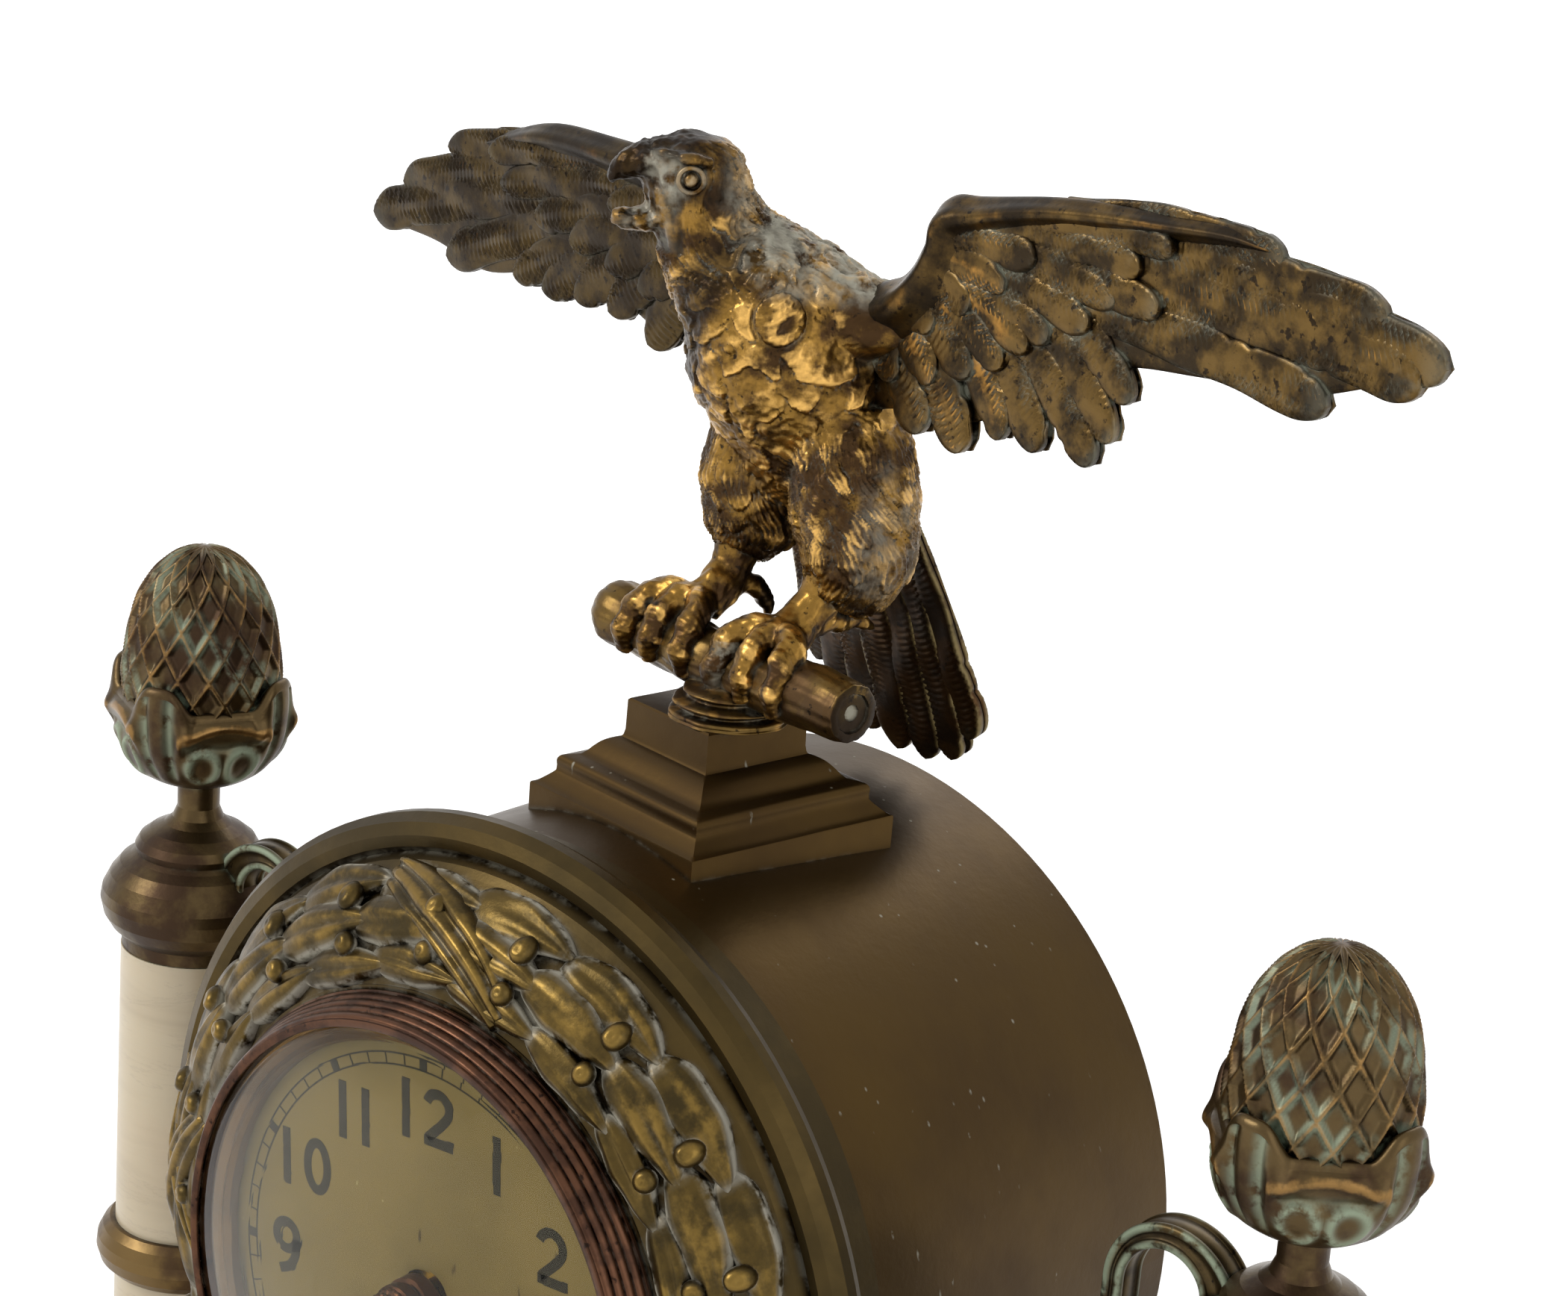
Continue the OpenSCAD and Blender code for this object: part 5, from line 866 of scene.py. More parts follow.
class CLOCK_OT_pedestal(bpy.types.Operator):
    """Runs the pedestal's moulding round its square and cuts its foot to the drum"""
    bl_idname = "clock.pedestal"
    bl_label = "Pedestal and mound"

    def execute(self, context):
        # Moulding from the foot up: half width and height; the ogee and the cove are Catmull-Rom curves
        ogee = resample([(19.9, 67.2), (19.1, 67.6), (18.2, 68.4), (17.5, 69.1), (17.2, 69.5)], 12)
        torus = resample([(17.15, 70.3), (17.2, 71.2), (16.8, 71.9), (16.0, 72.2), (14.6, 72.5)], 12)
        cove = resample([(13.9, 73.1), (13.2, 74.0), (12.2, 75.0), (11.0, 75.7), (10.25, 75.95)], 12)
        line = np.concatenate([[(20.0, 60.0), (20.0, 66.9)], ogee, torus, cove,
                               [(10.1, 76.15), (10.0, 76.4), (9.85, 77.2), (9.8, BLOCK_TOP - 0.3),
                                (9.5, BLOCK_TOP)]])
        # A square path: each side has points near its corners, so that the mitres stay sharp but not knife-edged
        t = np.array([-1, -0.97, -0.85, -0.6, -0.3, 0, 0.3, 0.6, 0.85, 0.97])
        side = np.stack([t, -np.ones(10)], -1)
        corner = np.concatenate([side @ np.linalg.matrix_power(np.array([[0, -1], [1, 0]]), k).T
                                 for k in range(4)])
        half = line[:, 0][:, None]
        x, y = half * corner[:, 0], half * corner[:, 1]
        p = at_eagle(x, y, line[:, 1][:, None])
        # The foot's edge follows the drum: its height is the drum's circle at that distance across
        foot = AXIS_Z + np.sqrt(np.clip(DRUM_R ** 2 - p[0, :, 0] ** 2, 0, None)) - 0.25
        p[0, :, 2] = foot
        p[1, :, 2] = np.maximum(p[1, :, 2], foot + 0.4)
        drop = np.array([0.0, 0.0, -1.0])
        p = np.concatenate([p[:1] + drop, p])
        wear = waves(p, 14, 3)[..., None] * 0.08
        shells = [skin(p + wear * unit(p - [STUD[0], STUD[1], AXIS_Z + 70]), relief=0.3)]
        piece("pedestal_moulding", shells, finish("drum brass"), "clock", ("pedestal",), sharp=35)
        # Three thin ledges: the radius steps in and out as it rises
        r = 9.2
        rows = resample([(0.5, -0.3), (r * 0.94, -0.25), (r, 0.3), (r * 0.99, 0.9), (r * 0.86, 1.25), (r * 0.85, 1.7),
                         (r * 0.95, 2.1), (r * 0.93, 2.6), (r * 0.74, 3.0), (r * 0.72, 3.6), (r * 0.8, 4.0),
                         (r * 0.74, 4.5), (r * 0.5, 4.9), (r * 0.3, 5.2), (0.4, 5.3)], 80)
        a = circle(110)
        m = at_eagle(4.0 + rows[:, :1] * np.cos(a), -1.0 + rows[:, :1] * np.sin(a), BLOCK_TOP + rows[:, 1:] + 0 * a)
        lump = waves(m, 7, 5)
        m = m + (0.25 * lump * smooth(rows[:, :1], 1, 6))[..., None] * unit(m - m.mean((0, 1)))
        piece("mound_casting", [skin(m, relief=np.clip(0.5 + lump, 0, 1))], finish("branch bronze"), "clock",
              ("mound",))
        self.branch()
        return {"FINISHED"}

    def branch(self):
        """A crooked tube: its radius swells at knots and takes lengthwise bark ridges; its right end is cut square
        with a hollow heart, its left end is a rounded knot."""
        low, high = -28.6, 30.6
        u = np.linspace(0, 1, 150)[:, None]
        v = circle(84)[None, :]
        x = low + (high - low) * u
        left = np.sqrt(np.clip(1 - ((-24.6 - x) / 4.4).clip(0) ** 2, 0.0005, 1))
        knots = 0.4 * np.exp(-((x + 24) / 4) ** 2) + 0.35 * np.exp(-((x - 21) / 3.4) ** 2) - 0.25
        bark = 0.07 * np.sin(v * 9 + np.sin(x * 0.32) * 1.5) + 0.05 * np.sin(v * 17 - x * 0.25)
        lump = waves(at_eagle(x + 0 * v, np.cos(v), np.sin(v)), 9, 8)
        r = (BRANCH_R + knots + bark + 0.3 * lump) * left
        r = r * np.where(u > 0.985, 0.96, 1)
        sag = -0.5 * np.cos(x * 0.11) + 0.4
        body = at_eagle(x + 0 * v, r * np.cos(v), BRANCH_Z + sag + r * np.sin(v))
        relief = np.clip(0.3 + 1.6 * bark + 0.25 * lump, 0, 1)
        # Cut face: rings step in to a sunk heart
        steps = np.array([(0.96, 0.15), (0.7, 0.1), (0.66, -0.35), (0.3, -0.3), (0.22, -1.0), (0.05, -1.1)])
        end = steps[:, 0][:, None] * r[-1:]
        face = at_eagle(high + steps[:, 1][:, None] + 0 * v, end * np.cos(v), BRANCH_Z + sag[-1] + end * np.sin(v))
        # The face is dark, with a pale spot in its heart
        darkened = np.repeat([0.0, 1.0], [len(body), len(face)])[:, None]
        spot = np.repeat([0.0, 1.0], [len(body) + 4, 2])[:, None]
        relief = np.concatenate([relief, np.zeros(face.shape[:2])])
        piece("branch_casting", [skin(np.concatenate([body, face]), relief=relief, dark=darkened - spot, pale=spot)],
              finish("branch bronze"), "clock", ("branch",), sharp=60)


# Brackets

# Height of the scroll's leg, and how far the arch's outer end stands from the column's axis
SCROLL_DROP, SCROLL_AT = 25.0, 7.8


class CLOCK_OT_brackets(bpy.types.Operator):
    """Bends the two scroll brackets of beaded strap"""
    bl_idname = "clock.brackets"
    bl_label = "Brackets"

    def execute(self, context):
        low, high = box_mm("bracket_right")
        arch_r, strap, width = 11.6, 3.4, float(high[1] - low[1])
        z = float(high[2]) - arch_r
        arch_x = COLUMN_X - SCROLL_AT - arch_r
        mid = arch_r - strap / 2
        # The leg is a cubic curve from the arch down to the drum
        t = np.linspace(0, 1, 60)[1:, None]
        pad = z - SCROLL_DROP
        leg = [np.array(q, float) for q in ((arch_x - mid, z), (arch_x - mid, z - SCROLL_DROP * 0.85),
                                            (arch_x - mid - 3, pad), (DRUM_R - 1.5, pad))]
        curl = leg[0] * (1 - t) ** 3 + 3 * leg[1] * t * (1 - t) ** 2 + 3 * leg[2] * t * t * (1 - t) + leg[3] * t ** 3
        a = np.radians(np.linspace(0, 180, 70))[:, None]
        arch = np.concatenate([arch_x + mid * np.cos(a), z + mid * np.sin(a)], -1)
        line = np.concatenate([[(arch_x + mid, z - 2.9), (arch_x + mid, z - 1.5)], arch, curl])
        ahead = unit(np.gradient(line, axis=0))
        side = np.stack([-ahead[:, 1], ahead[:, 0]], -1)
        # Half thickness: 1.7, more where the arch leaves the cap on its inner side, and at the drum on both
        k = np.interp(np.arange(len(line)), [0, 2, 72, len(line) - 1], [0, 1, 17, 29])
        outer = strap / 2 + 3.0 * np.clip((k - 22) / 7, 0, 1) ** 2
        inner = outer + 4 * np.clip(1 - k / 17, 0, 1) ** 2
        # Section: a round bead on each of the four edges, and a sunk face between them, front and back
        turn = np.radians(np.linspace(150, -60, 9))
        bead = np.stack([-0.78 + 0.78 * np.cos(turn), width / 2 - 0.78 + 0.78 * np.sin(turn)], -1)
        face = np.array([(-1.5, width / 2 - 0.62)])
        back = np.array([(-0.34, width / 2 - 1.5), (-0.3, 0.0)])
        quarter = np.concatenate([face, bead, back])
        half = np.concatenate([quarter, quarter[-2::-1] * [1, -1]])
        # Pale along the round of each bead, most on its crest: verdigris crust and a painted highlight
        pale = np.concatenate([[0.0], np.array([0.0, 0.2, 0.55, 0.75, 0.65, 0.3, 0.1, 0.0, 0.0]), [0.0, 0.0]])
        pale = np.concatenate([pale, pale[-2::-1]])
        # The loop runs up the inner side and down the outer one
        on_inner = np.repeat([True, False], len(half))
        across = np.concatenate([half[:, 1], half[::-1, 1]])
        pale = np.concatenate([pale, pale[::-1]])
        reach = np.where(on_inner, inner[:, None], -outer[:, None]) + np.concatenate([half[:, 0], -half[::-1, 0]])
        for sign, name in ((-1, "left"), (1, "right")):
            p = line[:, None, :] + side[:, None, :] * reach[..., None]
            grid = np.stack([sign * p[..., 0], np.broadcast_to(across, p.shape[:2]), p[..., 1]], -1)
            piece(f"strap_bracket_{name}", [skin(grid, relief=0.6 * pale, pale=pale)], finish("strap bronze"),
                  "clock", (f"bracket_{name}",))
        return {"FINISHED"}


class CLOCK_OT_hand_nut(bpy.types.Operator):
    """Turns the ribbed boss that holds the hands"""
    bl_idname = "clock.hand_nut"
    bl_label = "Boss of the hands"

    def execute(self, context):
        low, high = box_mm("hand_nut")
        f0, f1 = -float(high[1]), -float(low[1])
        rows = resample([(1.1, 0), (3.9, 0), (4.0, 0.6), (3.55, 0.95), (3.6, 1.2), (3.85, 1.6), (3.6, 2.05),
                         (3.1, 2.3), (3.15, 2.6), (2.7, 3.05), (1.5, 3.35), (0.2, 3.45)], 60)
        a = circle(96)
        ribs = 0.1 * np.cos(24 * a) * smooth(rows[:, :1], 2.6, 3.4)
        r = np.maximum(rows[:, :1] + ribs, 0.1)
        f = f0 + rows[:, 1:] * (f1 - f0) / 3.5
        piece("ribbed_boss", [skin(at_dial(r * np.sin(a), r * np.cos(a), f + 0 * a), relief=0.5 + 4 * ribs)],
              finish("reeded copper"), "minute", ("hand_nut",))
        return {"FINISHED"}


# Eagle

def tube(path, across, deep, yaw=0.0, count=48, rows=60):
    """Closed tube along a Catmull-Rom path: each section is an ellipse with its half width `across` to the side,
    turned by yaw degrees about the upright, and its half depth `deep` to the front."""
    data = np.column_stack([np.asarray(path, float), across, deep,
                            np.broadcast_to(np.asarray(yaw, float), len(path))])
    data = resample(data, rows)
    spine = data[:, :3]
    a, b, turn = (data[:, k][:, None, None] for k in (3, 4, 5))
    ahead = unit(np.gradient(spine, axis=0))[:, None, :]
    psi = np.radians(turn)
    side = np.concatenate([np.cos(psi), -np.sin(psi), 0 * psi], -1)
    side = unit(side - (side * ahead).sum(-1, keepdims=True) * ahead)
    front = np.cross(side, ahead)
    v = circle(count)[None, :, None]
    return spine[:, None, :] + a * np.cos(v) * side + b * np.sin(v) * front


def ball(centre, r, count=20):
    """A sphere, drawn as rings from pole to pole."""
    u = np.linspace(0.02, np.pi - 0.02, count)[:, None]
    v = circle(count)[None, :]
    unit_ball = np.stack([np.sin(u) * np.cos(v), np.sin(u) * np.sin(v), np.cos(u) + 0 * v], -1)
    return np.asarray(centre) + np.asarray(r) * unit_ball


def fuse(grids, voxel, rounds):
    """One closed skin over overlapping closed grids: Blender's voxel remesh and some smoothing, read back as
    points, quads and normals."""
    shells = [skin(g) for g in grids]
    offsets = np.cumsum([0] + [len(s["verts"]) for s in shells])
    verts = np.concatenate([s["verts"] for s in shells])
    faces = np.concatenate([s["quads"] + o for s, o in zip(shells, offsets)]).tolist()
    faces += np.concatenate([s["tris"] + o for s, o in zip(shells, offsets)]).tolist()
    mesh = bpy.data.meshes.new("fusing")
    mesh.from_pydata(verts.tolist(), [], faces)
    made = bpy.data.objects.new("fusing", mesh)
    bpy.context.scene.collection.objects.link(made)
    remesh = made.modifiers.new("skin", "REMESH")
    remesh.mode, remesh.voxel_size = "VOXEL", voxel
    ease = made.modifiers.new("ease", "SMOOTH")
    ease.factor, ease.iterations = 0.5, rounds
    result = made.evaluated_get(bpy.context.evaluated_depsgraph_get())
    done = result.to_mesh()
    points = np.empty(len(done.vertices) * 3, np.float32)
    done.vertices.foreach_get("co", points)
    normals = np.empty(len(done.vertices) * 3, np.float32)
    done.vertices.foreach_get("normal", normals)
    quads = np.empty(len(done.loops), np.int32)
    done.loops.foreach_get("vertex_index", quads)
    if len(quads) != 4 * len(done.polygons):
        raise RuntimeError("the voxel skin isn't all quads")
    result.to_mesh_clear()
    bpy.data.objects.remove(made)
    bpy.data.meshes.remove(mesh)
    return points.reshape(-1, 3).astype(float), quads.reshape(-1, 4), normals.reshape(-1, 3).astype(float)


def overlapping(along, around):
    """Relief of feathers laid like tiles, 0 to 1: along counts rows from the head, around counts feathers. Each
    feather is 1.75 rows long, starts half a feather aside of the last row's, rises to its round tip and drops
    sharply there, and covers the roots of the row below."""
    height = np.zeros_like(along)
    found = np.zeros(along.shape, bool)
    for back in (1, 0):
        row = np.floor(along) - back
        t = (along - row) / 1.75
        x = (around + 0.5 * (row % 2)) % 1 - 0.5
        jitter = np.sin(row * 12.9 + np.floor(around + 0.5 * (row % 2)) * 78.2) * 0.06
        tip = 1.0 + jitter - 1.75 * x ** 2
        here = (t < tip) & ~found
        s = np.clip(t / tip, 0, 1)
        h = (0.2 + 0.8 * s) * (1 - 0.5 * (2 * x) ** 4) * (1 - 0.75 * smooth(s, 0.93, 1.0))
        h = h + 0.1 * np.exp(-(x / 0.05) ** 2) * (1 - s) + 0.06 * np.sin(40 * s - 26 * np.abs(x)) * s
        height = np.where(here, h, height)
        found |= here
    return height


HEAD = np.array([-9.2, -4.4, 162.8])
LOOK = np.array([-0.646, -0.763, 0.0])
SIDE = np.array([0.763, -0.646, 0.0])
UP = np.array([0.0, 0.0, 1.0])
# Spine from the rump to the crown: place, half width, half depth, and how far the section looks to the left
SPINE = np.array([
    (1.0, 25.0, 108.5, 3.5, 3.0, 0), (0.5, 22.0, 113.0, 8.5, 7.0, 0), (0.0, 18.0, 120.0, 12.4, 11.0, 0),
    (-0.6, 13.5, 129.0, 14.8, 13.2, 0), (-1.4, 9.5, 137.5, 15.8, 14.4, 0), (-3.4, 5.5, 145.0, 13.4, 12.6, 8),
    (-7.0, 1.6, 151.0, 9.6, 9.8, 20), (-8.5, -1.2, 156.0, 7.8, 8.4, 32), (-9.2, -3.1, 160.5, 7.1, 8.1, 40),
    (-9.7, -4.1, 164.5, 6.7, 7.7, 40), (-10.0, -4.7, 167.6, 5.4, 6.3, 40), (-10.2, -4.9, 169.3, 3.0, 3.6, 40),
    (-10.2, -5.0, 169.9, 0.8, 0.9, 40)])
# Shoulders: path, half widths, half depths
SHOULDERS = (
    ([(2, 9, 146.5), (9, 12.2, 144.6), (15, 14.2, 144.8), (20, 16.0, 146.8), (23.0, 16.6, 149.0)],
     [8.6, 7.4, 6.2, 4.4, 3.0], [8.6, 7.0, 5.2, 3.6, 2.4]),
    ([(-6, 9, 143.5), (-12, 12.5, 142.5), (-18, 14.4, 145.5), (-22, 14.8, 148.5)],
     [8.4, 7.0, 5.4, 4.0], [8.4, 6.6, 4.8, 3.4]))
# Upper and lower half of the beak: ahead and up from the head's middle, half widths, half depths
BEAK = (
    ([(1, 2.4), (5.0, 2.6), (8.2, 2.0), (10.4, 0.7), (11.5, -0.8), (11.6, -1.9)],
     [5.2, 4.4, 3.6, 2.7, 1.6, 0.6], [4.4, 3.6, 2.9, 2.2, 1.3, 0.5]),
    ([(1, -5.0), (5.0, -6.2), (8.4, -6.6), (10.4, -6.4), (11.7, -5.9)],
     [4.8, 3.7, 3.1, 2.5, 1.2], [3.0, 2.3, 2.0, 1.8, 1.0]))
# A brow: ahead, aside and up from the head's middle
BROW = ((-3.2, 5.4, 3.4), (0.2, 6.0, 4.0), (3.2, 4.9, 4.2), (6.2, 3.0, 4.5))
HEAD_YAW = 40.2
# Axis over which the toes bend, and their distance from it
TOE_AXIS, TOE_R = 89.4, 6.6


def head_at(look, side, up):
    """A point measured from the head's middle: ahead, aside and up."""
    return HEAD + look * LOOK + side * SIDE + up * UP


def thigh(s):
    """Path and half sizes of one thigh, from the flank to its shaggy cuff."""
    if s > 0:
        path = [(9.0, 14.0, 129.5), (11.0, 14.0, 122.5), (12.6, 13.8, 115.5), (14.0, 13.4, 109.5),
                (13.6, 12.0, 104.6), (12.8, 10.4, 101.4)]
        return np.array(path), np.array([7.0, 8.6, 9.4, 8.9, 7.2, 4.6]), np.array([8.4, 9.6, 9.9, 9.2, 7.6, 5.0])
    path = [(-6.0, 14.0, 129.5), (-7.4, 13.4, 122.5), (-8.3, 12.6, 115.5), (-8.0, 11.4, 109.5),
            (-7.9, 10.2, 106.2), (-7.7, 9.0, 103.8)]
    return np.array(path), np.array([7.0, 8.6, 8.9, 7.6, 6.2, 4.0]), np.array([8.4, 9.6, 9.5, 8.2, 6.6, 4.4])


class CLOCK_OT_eagle(bpy.types.Operator):
    """Casts the eagle: body, head, thighs, legs, claws and tail"""
    bl_idname = "clock.eagle"
    bl_label = "Eagle"

    def execute(self, context):
        self.body()
        self.legs()
        self.tail()
        return {"FINISHED"}

    def forms(self):
        """Overlapping tubes: trunk with neck and head, shoulders, both halves of the beak, brows and thighs."""
        grids = [tube(SPINE[:, :3], SPINE[:, 3], SPINE[:, 4], SPINE[:, 5], 72, 90)]
        for path, across, deep in SHOULDERS:
            grids.append(tube(path, across, deep))
        for path, across, deep in BEAK:
            grids.append(tube([head_at(look, 0, up) for look, up in path], across, deep, HEAD_YAW))
        for s in (-1, 1):
            brow = [head_at(look, s * aside, up) for look, aside, up in BROW]
            grids.append(tube(brow, [0.9, 1.4, 1.3, 0.7], [0.9, 1.2, 1.1, 0.6], HEAD_YAW, 24, 30))
            grids.append(tube(*thigh(s)))
        return grids

    def plumage(self, points, warp):
        """Height of round feathers laid in rows round the spine, and on the neck of long locks, three rows tall, that
        swing from side to side. Also the trunk's half width at each point."""
        dense = resample(SPINE, 240)
        k = ((points[:, None, :] - dense[None, :, :3]) ** 2).sum(-1).argmin(1)
        ahead = unit(np.gradient(dense[:, :3], axis=0))
        psi = np.radians(dense[:, 5])
        side = np.stack([np.cos(psi), -np.sin(psi), 0 * psi], -1)
        side = unit(side - (side * ahead).sum(-1, keepdims=True) * ahead)
        front = np.cross(side, ahead)
        off = points - dense[k, :3]
        turn = np.arctan2((off * front[k]).sum(-1), (off * side[k]).sum(-1)) / (2 * np.pi)
        step = np.linalg.norm(np.gradient(dense[:, :3], axis=0), axis=-1)
        pitch = 0.43 * np.clip(dense[:, 3:5].mean(-1), 5, 16)
        rows = np.cumsum((step / pitch)[::-1])[::-1]
        along = rows[k] - (off * ahead[k]).sum(-1) / pitch[k]
        tiles = overlapping(along + 0.6 * warp, turn * 11 + 0.4 * waves(points, 11, 22))
        swing = 0.55 * np.sin(along * 1.1 + 3 * warp) + 0.5 * warp
        locks = overlapping(along * 0.42 + 0.5 * warp, turn * 15 + swing)
        strand = np.sin(2 * np.pi * (turn * 60 + 4 * swing))
        neck = smooth(points[:, 2], 143.0, 149.0)
        rough = 0.20 * waves(points, 4.2, 24) + 0.12 * np.abs(waves(points, 1.9, 25))
        return tiles * (1 - neck) + (0.85 * locks + 0.12 * strand) * neck + rough, dense[k, 3]

    def combed(self, points, warp):
        """Height of the thighs' hair, lines that swing as they fall, gathered in long tufts, and where it lies."""
        x, _, z = points.T
        hair = np.zeros(len(points))
        on_thigh = np.zeros(len(points))
        for s in (-1, 1):
            line = resample(np.column_stack(thigh(s)), 60)
            j = ((points[:, None, :] - line[None, :, :3]) ** 2).sum(-1).argmin(1)
            rel = points - line[j, :3]
            within = np.hypot(rel[:, 0] / line[j, 3], rel[:, 1] / line[j, 4])
            near = smooth(1.3 - within, 0.0, 0.25) * smooth(129.0 - z, 0, 4.0) * smooth((x - 2.0) * s, -1.0, 1.6)
            fall = 126 - z
            swing = 2.4 * np.sin(fall / 4.6 + 0.8 * s) - 0.32 * fall + 1.0 * waves(points, 10, 31)
            strands = np.arctan2(rel[:, 0], -rel[:, 1]) * 8.8 + swing
            comb = np.sin(2 * np.pi * strands / 0.95 + waves(points, 3, 33))
            tuft = overlapping(fall / 7.5 + 0.5 * warp, strands / 6.0)
            value = 0.75 * tuft + 0.15 * comb + 0.3 * waves(points, 6, 32)
            hair = np.where(near > on_thigh, value, hair)
            on_thigh = np.maximum(on_thigh, near)
        return hair, on_thigh

    def body(self):
        """One voxel skin over the tubes, pushed out along its normals by the plumage, the hair of the thighs, a
        medallion of feathers and the marks of the face."""
        points, quads, normals = fuse(self.forms(), 0.34, 4)
        x, y, z = points.T
        warp = waves(points, 16, 21)
        feathers, trunk = self.plumage(points, warp)
        hair, on_thigh = self.combed(points, warp)
        gaze = (points - HEAD) @ LOOK
        face = smooth(gaze, -1.6, 1.8) * (z > 152)
        on_head = smooth(z, 157.5, 161.5) * smooth(gaze, -8.5, -4.5)
        joint = smooth(np.abs(x), 13, 18) * (z > 138)
        height = feathers * (1 - 0.6 * on_head) * smooth(trunk, 2.5, 7.0) * (1 - 0.85 * joint)
        # A worn round medallion of feathers stands out on the breast, with arcs engraved across it; being high, it
        # takes the rubbed gold, which here is also a painted highlight
        disc = np.linalg.norm((points - [11.0, -2.4, 145.6]) / [1.0, 1.0, 1.06], axis=-1) / (5.0 + 0.5 * warp)
        arcs = 0.09 * np.sin(np.linalg.norm(points - [6.0, -4.0, 154.0], axis=-1) * 2 * np.pi / 1.1)
        boss = 0.7 * np.sqrt(np.clip(1 - disc ** 2, 0, 1)) + 0.3 + arcs + 0.4 * waves(points, 3.0, 44)
        height = np.where(disc < 1, boss, height * smooth(disc, 1.0, 1.2))
        height = height * (1 - on_thigh) + hair * on_thigh
        calm = face * (0.22 * waves(points, 3.2, 41) + 0.1 * waves(points, 1.3, 42))
        height = height * (1 - face) + calm + 0.14 * waves(points, 5, 43)
        # Nostrils are raised bosses; a line parts horn and skin
        nostril = np.zeros(len(points))
        for s in (-1, 1):
            hole = np.linalg.norm(points - head_at(6.0, s * 3.7, 3.0), axis=-1)
            nostril = np.maximum(nostril, np.exp(-(hole / 1.1) ** 2))
        height = height + 0.6 * nostril
        cere = np.abs(gaze - 5.2 - 0.25 * (z - HEAD[2]))
        height = height - 0.3 * np.exp(-(cere / 0.4) ** 2) * (z > HEAD[2] - 1.2) * face
        moved = points + normals * (height - 0.35)[:, None]
        relief = np.clip(0.1 + 0.8 * height, 0, 1)
        # Dried polish: on the cheek, nostril and jaw, down the nape and over the shoulder, and on the near flank
        cheek = np.clip(1.5 * np.exp(-(np.linalg.norm(points - head_at(3.2, 5.2, 0.6), axis=-1) / 2.7) ** 2), 0, 1)
        jaw = np.exp(-((gaze - 6.5) / 3.0) ** 2) * (z < HEAD[2] - 3.6) * face * 0.75
        nape = 0.5 * smooth(-gaze - 0.45 * np.clip(160 - z, 0, 20), 3.5, 9.0) * smooth(z, 146, 150)
        ridge = smooth(normals[:, 2], 0.45, 0.9) * smooth(z, 146, 149) * (z < 158) * (x > -2) * 0.5
        flank = smooth(x, 18.5, 21.5) * (z < 128) * 0.25
        pale = np.clip(cheek + nostril + jaw + nape + ridge + flank, 0, 1) * (0.75 + 0.5 * waves(points, 2.6, 47))
        # Horn of the beak and a burnt patch down the breast are dark, and the low places between the feathers are
        # darkened as dirt and painted shade
        horn = smooth(gaze, 4.5, 6.5) * face * (z > HEAD[2] - 2.8)
        darkened = np.exp(-((x + 7 - 0.6 * (z - 140)) / 6.5) ** 2) * (y < 6) * (z > 126)
        hollow = smooth(0.25 - height, 0.0, 0.45)
        dark = np.clip(0.9 * horn + 0.75 * darkened + 0.4 * on_head + 0.7 * hollow, 0, 1) * (1 - nostril) * (1 - cheek)
        shells = [{"verts": eagle_points(moved), "quads": quads, "tris": np.zeros((0, 3), int),
                   "fields": {"relief": relief, "pale": pale, "dark": dark}}]
        piece("eagle_body", shells + self.eyes(), finish("gilt bronze"), "clock", ("eagle",))

    def eyes(self):
        """Each eye is a ball in a raised ring."""
        shells = []
        a, b = circle(40)[:, None], circle(14)[None, :]
        r = 1.85 + 0.42 * np.cos(b)
        out = 0.4 + 0.5 * np.sin(b) + 0 * a
        for s in (-1, 1):
            centre = head_at(-0.1, s * 6.2, 0.9)
            shells.append(skin(eagle_points(ball(centre, 1.15)), relief=0.8, pale=0.55))
            ring = centre + (r * np.cos(a))[..., None] * LOOK + (r * np.sin(a))[..., None] * UP + \
                (s * out)[..., None] * SIDE
            shells.append(skin(eagle_points(ring), ring=True, relief=0.5, pale=0.35))
        return shells

    def legs(self):
        """Shanks, toes with swollen joints bent over the branch, and claws, under one voxel skin."""
        grids = []
        for s, x, toes in ((1, 12.0, (4.4, 10.8, 18.2)), (-1, -8.4, (-3.8, -11.2, -17.3))):
            grids.append(tube([(x + 0.4 * s, 9.4, 104.5), (x, 7.6, 101.0), (x - 0.6 * s, 5.0, 98.4), (x, 2.4, 96.4)],
                              [3.8, 3.3, 3.4, 3.9], [3.8, 3.3, 3.4, 3.2], 0, 32, 30))
            for toe in toes:
                share = np.array([0.0, 0.5, 0.86, 1.0, 1.04, 1.04])[:, None]
                path = np.array([x, 0, 0]) + share * np.array([toe - x, 0, 0])
                path[:, 1] = [3.2, 0.6, -1.9, -4.0, -4.9, -4.5]
                path[:, 2] = [96.4, 96.8, 95.6, 92.6, 89.6, 87.0]
                r = np.array([2.7, 2.5, 2.45, 2.3, 2.1, 1.0])
                grids.append(tube(path, r, r, 0, 28, 40))
        heel = [(12.0, 5.0, 98.0), (12.1, 11.0, 97.7), (12.0, 15.0, 97.2), (12.0, 18.4, 96.2), (12.0, 20.4, 95.0)]
        grids.append(tube(heel, [2.6, 2.1, 1.7, 1.1, 0.3], [2.6, 2.0, 1.6, 1.0, 0.3], 0, 24, 36))
        heel = [(-8.4, 5.0, 98.2), (-7.6, 9.6, 98.4), (-7.0, 13.0, 97.2), (-6.8, 14.6, 94.8), (-6.8, 14.8, 92.8)]
        grids.append(tube(heel, [2.5, 2.0, 1.8, 1.4, 0.6], [2.5, 2.0, 1.8, 1.4, 0.6], 0, 24, 36))
        points, quads, normals = fuse(grids, 0.3, 2)
